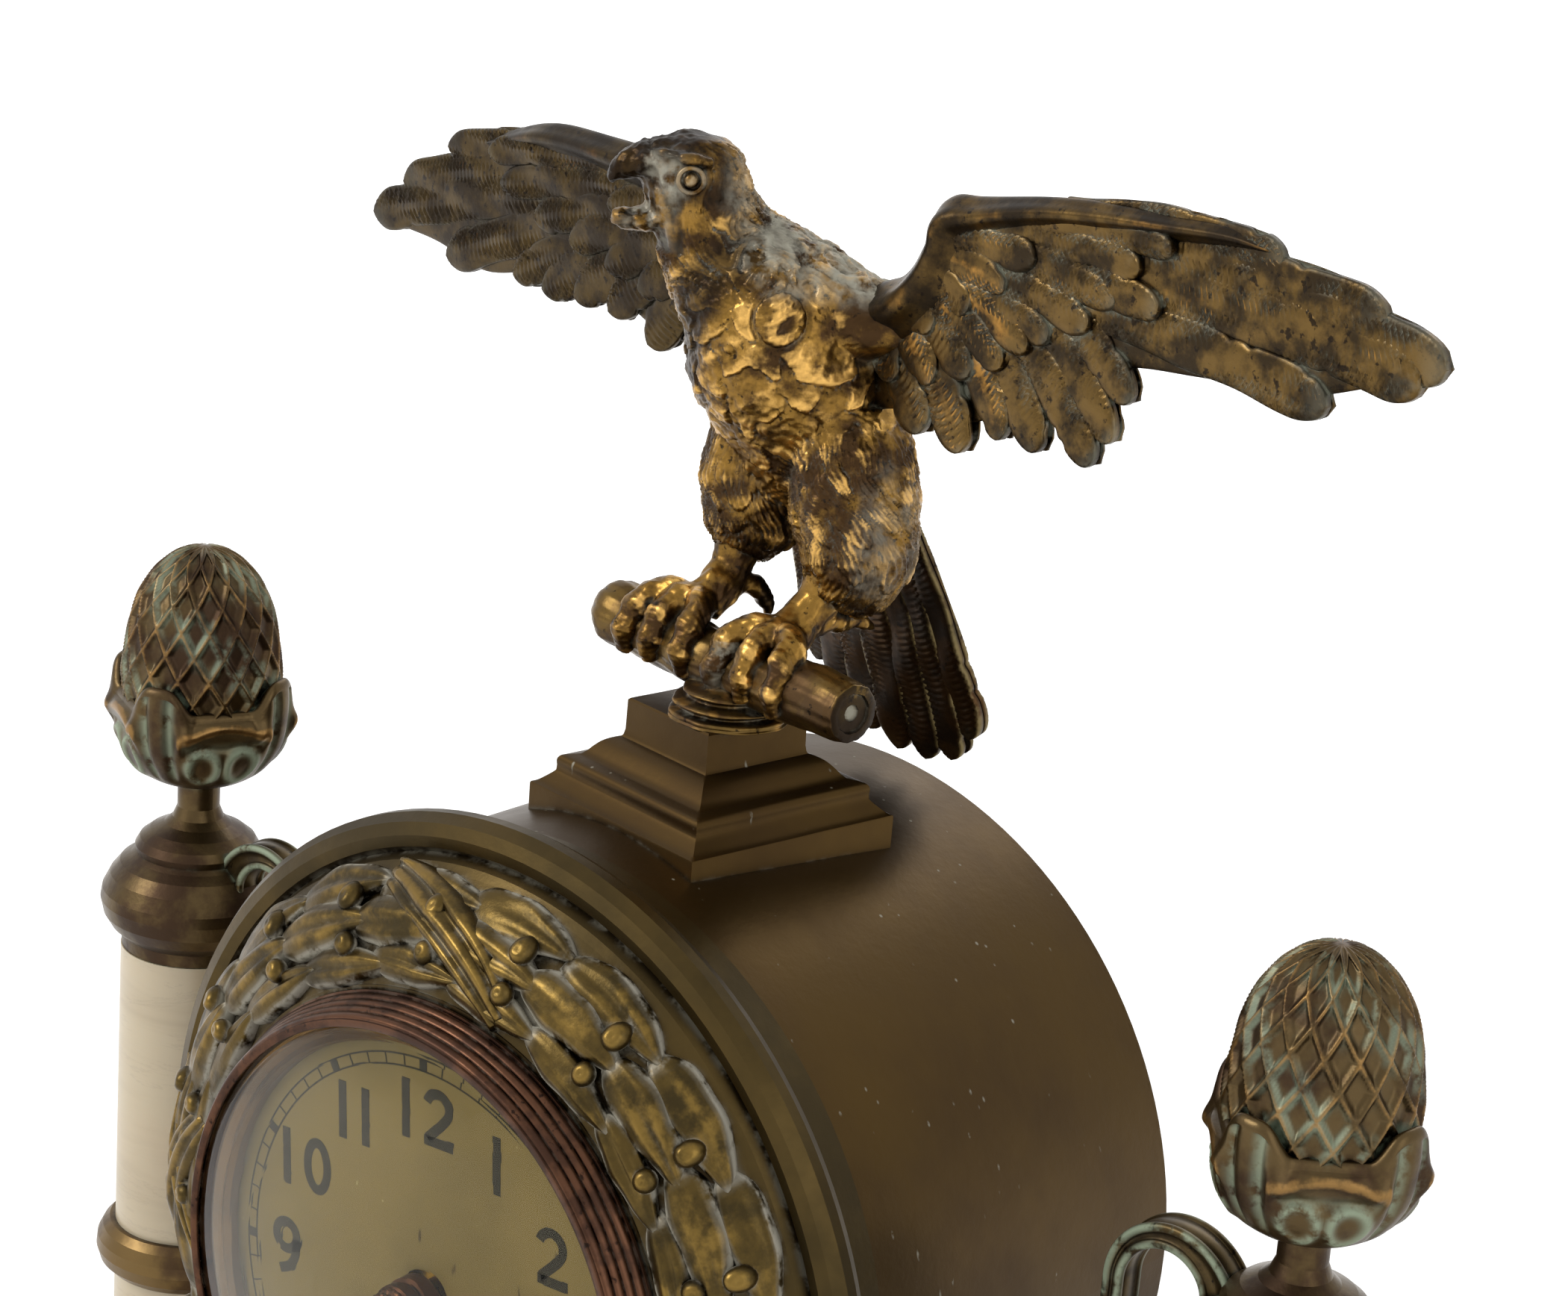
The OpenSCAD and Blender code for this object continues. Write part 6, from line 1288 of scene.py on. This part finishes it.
        # Fine scutes across the toes and swollen joints along each, measured round the branch
        x, y, z = points.T
        round_branch = np.arctan2(-y, z - TOE_AXIS) * TOE_R
        ribs = np.abs(np.sin(np.pi * round_branch / 0.95 + 0.5 * waves(points, 4, 52)))
        joints = np.cos(2 * np.pi * round_branch / 4.4)
        claw = smooth(y, 10.5, 12.5)
        height = (0.1 * ribs ** 0.7 + 0.2 * joints) * (1 - claw) + 0.3 * waves(points, 4.4, 51)
        moved = points + normals * (height - 0.1)[:, None]
        between = np.exp(-((x - 7.2) / 1.6) ** 2) * (y < -1) * (z < 95)
        piece("eagle_legs", [{"verts": eagle_points(moved), "quads": quads, "tris": np.zeros((0, 3), int),
                              "fields": {"relief": np.clip(0.3 + 1.4 * height, 0, 1), "pale": between,
                                         "dark": 0.8 * claw * (x < 0)}}],
              finish("gilt bronze"), "clock")

    def tail(self):
        """A fan of long feathers on a plane that falls back from the rump, the middle one on top."""
        base = np.array([0.0, 24.0, 112.0])
        down = unit(np.array([0.0, 14.0, -38.0]))
        side = np.array([1.0, 0.0, 0.0])
        face = np.cross(side, down)
        shells = []
        fan = ((-9.5, -16.6, 80.0), (12.0, 19.2, 77.0), (-6.5, -11.5, 75.0), (9.0, 14.2, 72.0), (-3.0, -5.0, 71.4),
               (6.0, 8.2, 70.4), (2.0, 1.6, 70.2))
        for k, (x0, x1, z1) in enumerate(fan):
            reach = (112.0 - z1) * np.hypot(14, 38) / 38
            for flip in (1, -1):
                shells.append(feather((x0, -4.0), (x1, reach), 8.4, lambda x, y, h, f=flip, k=k: eagle_points(
                    base + x[..., None] * side + y[..., None] * down + (f * (0.25 + 0.2 * k + h))[..., None] * face),
                    height=0.8, seed=60 + k, dark=0.3, worn=0.8))
        piece("eagle_tail", shells, finish("tail bronze"), "clock")


def feather(root, tip, width, place, height=0.8, seed=0, dark=0.0, bend=0.0, worn=0.12, fine=True):
    """A feather as a closed lens: half width grows from the root and ends in a blunt round tip; its outer face has
    a raised shaft, slanting barbs 1.1 mm apart, some splits, dents, and a thin pale edge. `place` puts (across,
    along, height) into the frame."""
    rng = np.random.default_rng(seed)
    root, tip = np.asarray(root, float), np.asarray(tip, float)
    length = np.linalg.norm(tip - root)
    way = (tip - root) / length
    side = np.array([way[1], -way[0]])
    rows = np.clip(length / 0.3, 24, 180) if fine else np.clip(length / 0.9, 16, 60)
    u = np.linspace(0, 1, int(rows))[:, None]
    v = circle(30 if fine else 20)[None, :]
    x = np.cos(v) + 0 * u
    top = np.sin(v) > 0.001
    blunt = min(0.4, 0.85 * width / length)
    end = np.sqrt(np.clip(1 - (np.clip(u - 1 + blunt, 0, 1) / blunt) ** 2, 0.0004, 1))
    wavy = 1 + 0.04 * np.sin(u * length / 3.1 + rng.uniform(0, 6))
    half = width / 2 * (0.7 + 0.3 * smooth(u, 0, 0.5)) * end * wavy
    split = sum(0.13 * np.exp(-((u - rng.uniform(0.5, 0.92)) * length / 0.8) ** 2) *
                (np.sign(x) == rng.choice([-1, 1])) for _ in range(3))
    half = half * (1 - split * smooth(np.abs(x), 0.5, 1))
    slant = (u * length - np.abs(x) * width * 0.5) / 1.1 + rng.uniform(0, 1)
    fade = smooth(np.sin(u * length / 5 + x * 2 + rng.uniform(0, 6)), -0.9, 0.3)
    barb = 0.22 * np.sin(2 * np.pi * slant) * smooth(np.abs(x), 0.08, 0.25) * smooth(1 - np.abs(x), 0, 0.15) * fade
    shaft = 0.42 * np.exp(-(x / 0.1) ** 2) * (1.15 - u)
    vane = height * np.clip(1 - np.abs(x) ** 2.6, 0, 1) ** 0.5 * (0.7 + 0.2 * np.abs(x))
    dents = 0.16 * height * np.sin(u * length / 2.3 + 2.2 * x + rng.uniform(0, 6))
    rise = 0.35 * smooth(u, 0.3, 1.0)
    lift = np.where(top, vane + (barb + shaft + dents) * end + rise, -0.35)
    curl = bend * np.sin(np.pi * u)
    p = root + u[..., None] * length * way + (x * half + curl)[..., None] * side
    relief = np.where(top, np.clip(0.3 + (vane / height - 0.6) * 0.5 + (barb + shaft) * 2.0 - dark, 0, 1), 0)
    pale = np.where(top, smooth(np.abs(x), 0.84, 0.99) * worn + 0.1 * smooth(u, 0.9, 1), 0)
    return skin(place(p[..., 0], p[..., 1], lift), relief=relief, pale=pale)


# Wings: root across and up, tip across and up, width, and layer; measured from the stud and the dial's axis
FLIGHT_RIGHT = [
    (50, 168.4, 90.4, 169.6, 5.0, 0.0), (53, 166.4, 108.8, 165.2, 6.6, 0.4), (54, 163.6, 119.0, 161.0, 8.4, 0.8),
    (54, 160.4, 115.6, 158.2, 8.0, 1.2), (54, 155.4, 100.8, 151.9, 7.2, 1.6), (50, 156.4, 66.6, 144.6, 6.6, 1.8),
    (46, 153.4, 63.8, 138.2, 6.6, 2.0), (42, 151.0, 60.4, 134.0, 7.0, 2.2), (38, 149.0, 50.0, 133.4, 7.4, 2.4),
    (33, 147.0, 42.6, 133.4, 7.6, 2.6), (25, 143.0, 34.8, 129.6, 8.6, 2.8), (17, 142.0, 26.1, 130.4, 8.0, 3.0)]
COVERTS_RIGHT = [
    (34, 164.6, 72.0, 167.2, 4.2, 0.0), (34, 163.0, 66.5, 163.4, 5.2, 0.1), (34, 161.0, 70.6, 158.4, 5.6, 0.2),
    (33, 159.4, 62.6, 158.0, 5.6, 0.35), (32, 157.4, 58.0, 153.4, 5.6, 0.5), (30, 155.6, 50.6, 150.0, 5.6, 0.65),
    (28, 153.6, 46.8, 147.6, 6.0, 0.8), (25, 151.8, 42.0, 144.0, 6.4, 0.9), (22, 149.6, 35.6, 141.2, 7.2, 1.0),
    (18, 147.0, 28.0, 138.4, 7.4, 1.1), (13, 145.0, 20.0, 137.0, 7.2, 1.2), (30, 160.6, 47.0, 160.8, 5.4, 1.3),
    (28, 157.4, 41.5, 155.4, 5.6, 1.4), (25, 154.2, 34.6, 150.8, 6.2, 1.5), (19, 150.2, 27.4, 146.4, 6.6, 1.6),
    (13, 147.0, 19.5, 143.6, 6.4, 1.7)]
FLIGHT_LEFT = [
    (48, 157.0, 97.6, 150.0, 5.2, 0.0), (48, 153.8, 110.6, 141.6, 7.4, 0.4), (48, 150.4, 119.4, 134.6, 7.6, 0.8),
    (46, 147.0, 96.0, 131.6, 7.6, 1.2), (46, 145.6, 76.0, 132.6, 7.2, 1.5), (42, 145.0, 67.6, 132.0, 7.6, 1.8),
    (39, 144.5, 58.6, 132.6, 8.0, 2.0), (36, 143.8, 49.2, 132.2, 8.6, 2.2), (30, 141.5, 38.4, 129.2, 9.2, 2.5),
    (21, 141.5, 27.4, 129.6, 9.0, 2.8)]
COVERTS_LEFT = [
    (38, 155.4, 84.0, 152.0, 5.0, 0.0), (38, 153.4, 80.0, 147.2, 6.0, 0.15), (36, 151.4, 70.0, 143.4, 6.4, 0.3),
    (33, 149.8, 60.0, 141.6, 6.8, 0.5), (30, 148.2, 50.0, 139.6, 7.2, 0.7), (24, 147.2, 41.0, 137.6, 7.6, 0.85),
    (18, 146.2, 31.0, 137.2, 7.6, 1.0), (12, 144.2, 21.0, 136.6, 7.2, 1.15), (28, 154.4, 50.0, 149.6, 6.0, 1.3),
    (22, 149.6, 36.0, 146.6, 6.4, 1.45), (15, 146.8, 24.0, 144.4, 6.4, 1.6)]
BONE_RIGHT = [(14, 145.5, 4.6), (20, 147.8, 4.8), (24.6, 152.4, 4.4), (27.2, 158.0, 3.9), (28.6, 162.2, 3.9),
              (34, 164.0, 3.1), (46, 167.0, 2.5), (58, 168.7, 2.2), (70, 169.8, 1.8), (81, 170.6, 1.3),
              (88, 170.2, 0.5)]
BONE_LEFT = [(10, 142.5, 4.6), (17, 148.0, 4.3), (25, 152.6, 3.7), (35, 155.6, 3.5), (47, 156.8, 3.2),
             (59, 157.2, 2.8), (70, 156.6, 2.4), (79, 154.6, 1.5), (86, 152.8, 0.5)]
# Web between the feathers' roots and a line inside their tips: top edge and lower edge
WEB_RIGHT = ([(10, 147), (18, 151), (23, 155), (26, 162), (34, 165.4), (48, 168.2), (62, 170), (76, 171), (90, 168),
              (104, 164.6), (114, 162)],
             [(10, 129), (18, 132), (27, 132.6), (35, 134), (43, 137), (51, 138), (58, 140), (62, 148), (78, 150.6),
              (95, 152), (110, 157)])
WEB_LEFT = ([(10, 145), (20, 152), (32, 157), (47, 158.6), (60, 158.8), (72, 157.2), (84, 152.4), (96, 147.6),
             (106, 143), (114, 138)],
            [(10, 129), (20, 131), (30, 131), (40, 132), (50, 135), (60, 134.4), (72, 133.6), (86, 131), (100, 133),
             (112, 133.4)])


def bowed(x, sign, lift, z):
    """A point of a wing's plane, 15 mm behind the stud: it bends back towards the tip, by 2.2 mm at 120 mm."""
    return at_eagle(sign * x, 15.0 + 2.2 * (np.clip(np.abs(x) - 20, 0, None) / 100) ** 2 - lift, z)


class CLOCK_OT_wings(bpy.types.Operator):
    """Lays the feathers of both wings on a web and a ridged bone, front and back"""
    bl_idname = "clock.wings"
    bl_label = "Wings"

    def execute(self, context):
        for sign, name, flight, coverts, bone, web in (
                (1, "right", FLIGHT_RIGHT, COVERTS_RIGHT, BONE_RIGHT, WEB_RIGHT),
                (-1, "left", FLIGHT_LEFT, COVERTS_LEFT, BONE_LEFT, WEB_LEFT)):
            v = circle(32)[None, :]
            top, low = (resample(edge, 80) for edge in web)
            share = 0.5 + 0.5 * np.cos(v)
            x = low[:, :1] + (top - low)[:, :1] * share
            z = low[:, 1:] + (top - low)[:, 1:] * share
            shells = [skin(bowed(x, sign, 0.55 * np.sin(v) + 0.3, z), relief=0.2)]
            for group, lift, height in ((flight, 0.0, 0.8), (coverts, 1.1, 1.0)):
                for k, (x0, z0, x1, z1, width, layer) in enumerate(group):
                    bend = -0.022 * np.hypot(x1 - x0, z1 - z0) + 0.3 * (k % 3 - 1)
                    dark = 0.1 * (k % 3) - (0.16 if x1 < 50 and sign > 0 else -0.06)
                    # The back has the same feathers, flatter and with fewer faces
                    for face in (1, -1):
                        depth = 0.1 + (lift + 0.42 * layer if face > 0 else 0.2 * lift + 0.08 * layer)
                        shells.append(feather(
                            (x0, z0), (x1, z1), width, lambda x, z, h, face=face, depth=depth:
                            bowed(x, sign, face * (depth + (h if face > 0 else 0.45 * h)), z), height=height,
                            seed=100 * (sign + 2) + 7 * k + face, dark=dark, bend=bend, fine=face > 0))
            # Bone along the leading edge, with three ridges that run along it
            line = resample(bone, 110)
            ahead = unit(np.gradient(line[:, :2], axis=0))
            side = np.stack([-ahead[:, 1], ahead[:, 0]], -1)
            ridges = 0.1 * np.cos(4 * v + 0.4) * np.ones((110, 1)) + 0.04 * np.sin(
                np.linspace(0, 30, 110))[:, None] * np.cos(2 * v)
            r = line[:, 2:] * (1 + ridges)
            x = line[:, :1] + r * np.cos(v) * side[:, :1] * 0.9
            z = line[:, 1:2] + r * np.cos(v) * side[:, 1:] * 0.9
            shells.append(skin(bowed(x, sign, 0.6 + r * np.sin(v) * np.where(np.sin(v) > 0, 0.95, 0.6), z),
                               relief=0.3 + 3.0 * ridges, dark=0.45))
            piece(f"wing_casting_{name}", shells, finish(f"{name} wing gilding"), "clock", (f"wing_{name}",))
        return {"FINISHED"}


# Stage and camera

def seen_rays(tree):
    """1 for rays of the camera, of a reflection and through glass, and 0 for the light on the object."""
    path = add(tree, "ShaderNodeLightPath")
    seen = path.outputs["Is Camera Ray"]
    for ray in ("Is Glossy Ray", "Is Transmission Ray"):
        seen = add(tree, "ShaderNodeMath", {0: seen, 1: path.outputs[ray]}, operation="MAXIMUM").outputs[0]
    return seen


class CLOCK_OT_stage(bpy.types.Operator):
    """Sets the pale floor, the white backdrop, the soft lamps and the camera"""
    bl_idname = "clock.stage"
    bl_label = "Stage and camera"

    def execute(self, context):
        scene = context.scene
        scene.view_settings.view_transform = "Standard"
        floor = bpy.data.meshes.new("floor")
        floor.from_pydata([(-6, -6, 0), (6, -6, 0), (6, 8, 0), (-6, 8, 0)], [], [(0, 1, 2, 3)])
        made = bpy.data.objects.new("floor", floor)
        scene.collection.objects.link(made)
        # Pale matt floor, lifted to white for the camera and for reflections; shadows stay
        paint = bpy.data.materials.new("pale floor")
        paint.use_nodes = True
        tree = paint.node_tree
        tree.nodes.clear()
        place = add(tree, "ShaderNodeTexCoord").outputs["Object"]
        grain = add(tree, "ShaderNodeTexNoise", {"Vector": place, "Scale": 6.0})
        tone = add(tree, "ShaderNodeMix", {0: grain.outputs[0], 6: linear("#f4f3f1"), 7: linear("#fafaf9")},
                   data_type="RGBA").outputs[2]
        matt = add(tree, "ShaderNodeBsdfDiffuse", {"Color": tone})
        far = add(tree, "ShaderNodeVectorMath", {0: place}, operation="LENGTH").outputs["Value"]
        level = add(tree, "ShaderNodeMapRange", {"Value": far, "From Min": 0.35, "From Max": 1.6, "To Min": 0.3,
                                                 "To Max": 0.9})
        lift = add(tree, "ShaderNodeMath", {0: seen_rays(tree), 1: level.outputs[0]}, operation="MULTIPLY")
        glow = add(tree, "ShaderNodeEmission", {"Strength": lift.outputs[0]})
        both = add(tree, "ShaderNodeAddShader", {0: matt.outputs[0], 1: glow.outputs[0]})
        add(tree, "ShaderNodeOutputMaterial", {"Surface": both.outputs[0]})
        floor.materials.append(paint)
        world = bpy.data.worlds.new("studio")
        scene.world = world
        world.use_nodes = True
        tree = world.node_tree
        tree.nodes.clear()
        level = add(tree, "ShaderNodeMapRange", {"Value": seen_rays(tree), "To Min": 0.55, "To Max": 1.0})
        sky = add(tree, "ShaderNodeBackground", {"Color": (1, 1, 1, 1), "Strength": level.outputs[0]})
        add(tree, "ShaderNodeOutputWorld", {"Surface": sky.outputs[0]})
        for name, power, width, place, aim in (
                ("key", 17.0, 0.7, (-0.95, -1.25, 1.35), (0.0, 0.0, 0.25)),
                ("fill", 5.0, 1.2, (1.6, -0.5, 0.9), (0.0, 0.0, 0.2)),
                ("back", 5.0, 1.0, (-0.4, 1.5, 1.3), (0.0, 0.0, 0.25))):
            lamp = bpy.data.lights.new(name, "AREA")
            lamp.energy = power
            lamp.size = width
            holder = bpy.data.objects.new(name, lamp)
            scene.collection.objects.link(holder)
            back = unit(np.array(place) - np.array(aim))
            right = unit(np.cross([0, 0, 1], back))
            turn = np.stack([right, np.cross(back, right), back], 1)
            holder.matrix_world = Matrix.Translation(place) @ Matrix(turn.tolist()).to_4x4()
        camera = bpy.data.cameras.new("photograph")
        camera.lens = 87.18
        camera.sensor_width = 36.0
        camera.sensor_fit = "HORIZONTAL"
        camera.clip_start = 0.01
        holder = bpy.data.objects.new("photograph", camera)
        scene.collection.objects.link(holder)
        # Columns: the camera's right, up and backward directions in the clock's frame
        turn = Matrix(((0.758749, -0.249764, 0.601596), (0.647482, 0.188268, -0.738460),
                       (0.071180, 0.949828, 0.304566)))
        holder.matrix_world = Matrix.Translation((0.35711, -0.42077, 0.46891)) @ turn.to_4x4()
        scene.camera = holder
        return {"FINISHED"}


class CLOCK_PT_panel(bpy.types.Panel):
    """Lists the sizes, the colours and the operators"""
    bl_idname = "CLOCK_PT_panel"
    bl_label = "Portico clock"
    bl_space_type = "VIEW_3D"
    bl_region_type = "UI"
    bl_category = "Clock"

    def draw(self, context):
        for group in (context.scene.clock_sizes, context.scene.clock_colours):
            for name in type(group).__annotations__:
                self.layout.prop(group, name)
        for operator in STEPS:
            self.layout.operator(operator.bl_idname)


STEPS = (CLOCK_OT_stage, CLOCK_OT_finishes, CLOCK_OT_dial, CLOCK_OT_bezel, CLOCK_OT_hand_nut, CLOCK_OT_wreath,
         CLOCK_OT_finials, CLOCK_OT_brackets, CLOCK_OT_pedestal, CLOCK_OT_eagle, CLOCK_OT_wings)
CLASSES = (ClockSizes, ClockColours) + STEPS + (CLOCK_PT_panel,)


def register():
    """Adds the classes and their settings."""
    for each in CLASSES:
        bpy.utils.register_class(each)
    bpy.types.Scene.clock_sizes = PointerProperty(type=ClockSizes)
    bpy.types.Scene.clock_colours = PointerProperty(type=ClockColours)


def unregister():
    """Takes them away again."""
    del bpy.types.Scene.clock_sizes, bpy.types.Scene.clock_colours
    for each in reversed(CLASSES):
        bpy.utils.unregister_class(each)


def main():
    """Makes every piece in order."""
    register()
    for operator in STEPS:
        group, name = operator.bl_idname.split(".")
        getattr(getattr(bpy.ops, group), name)()


if __name__ == "__main__":
    main()
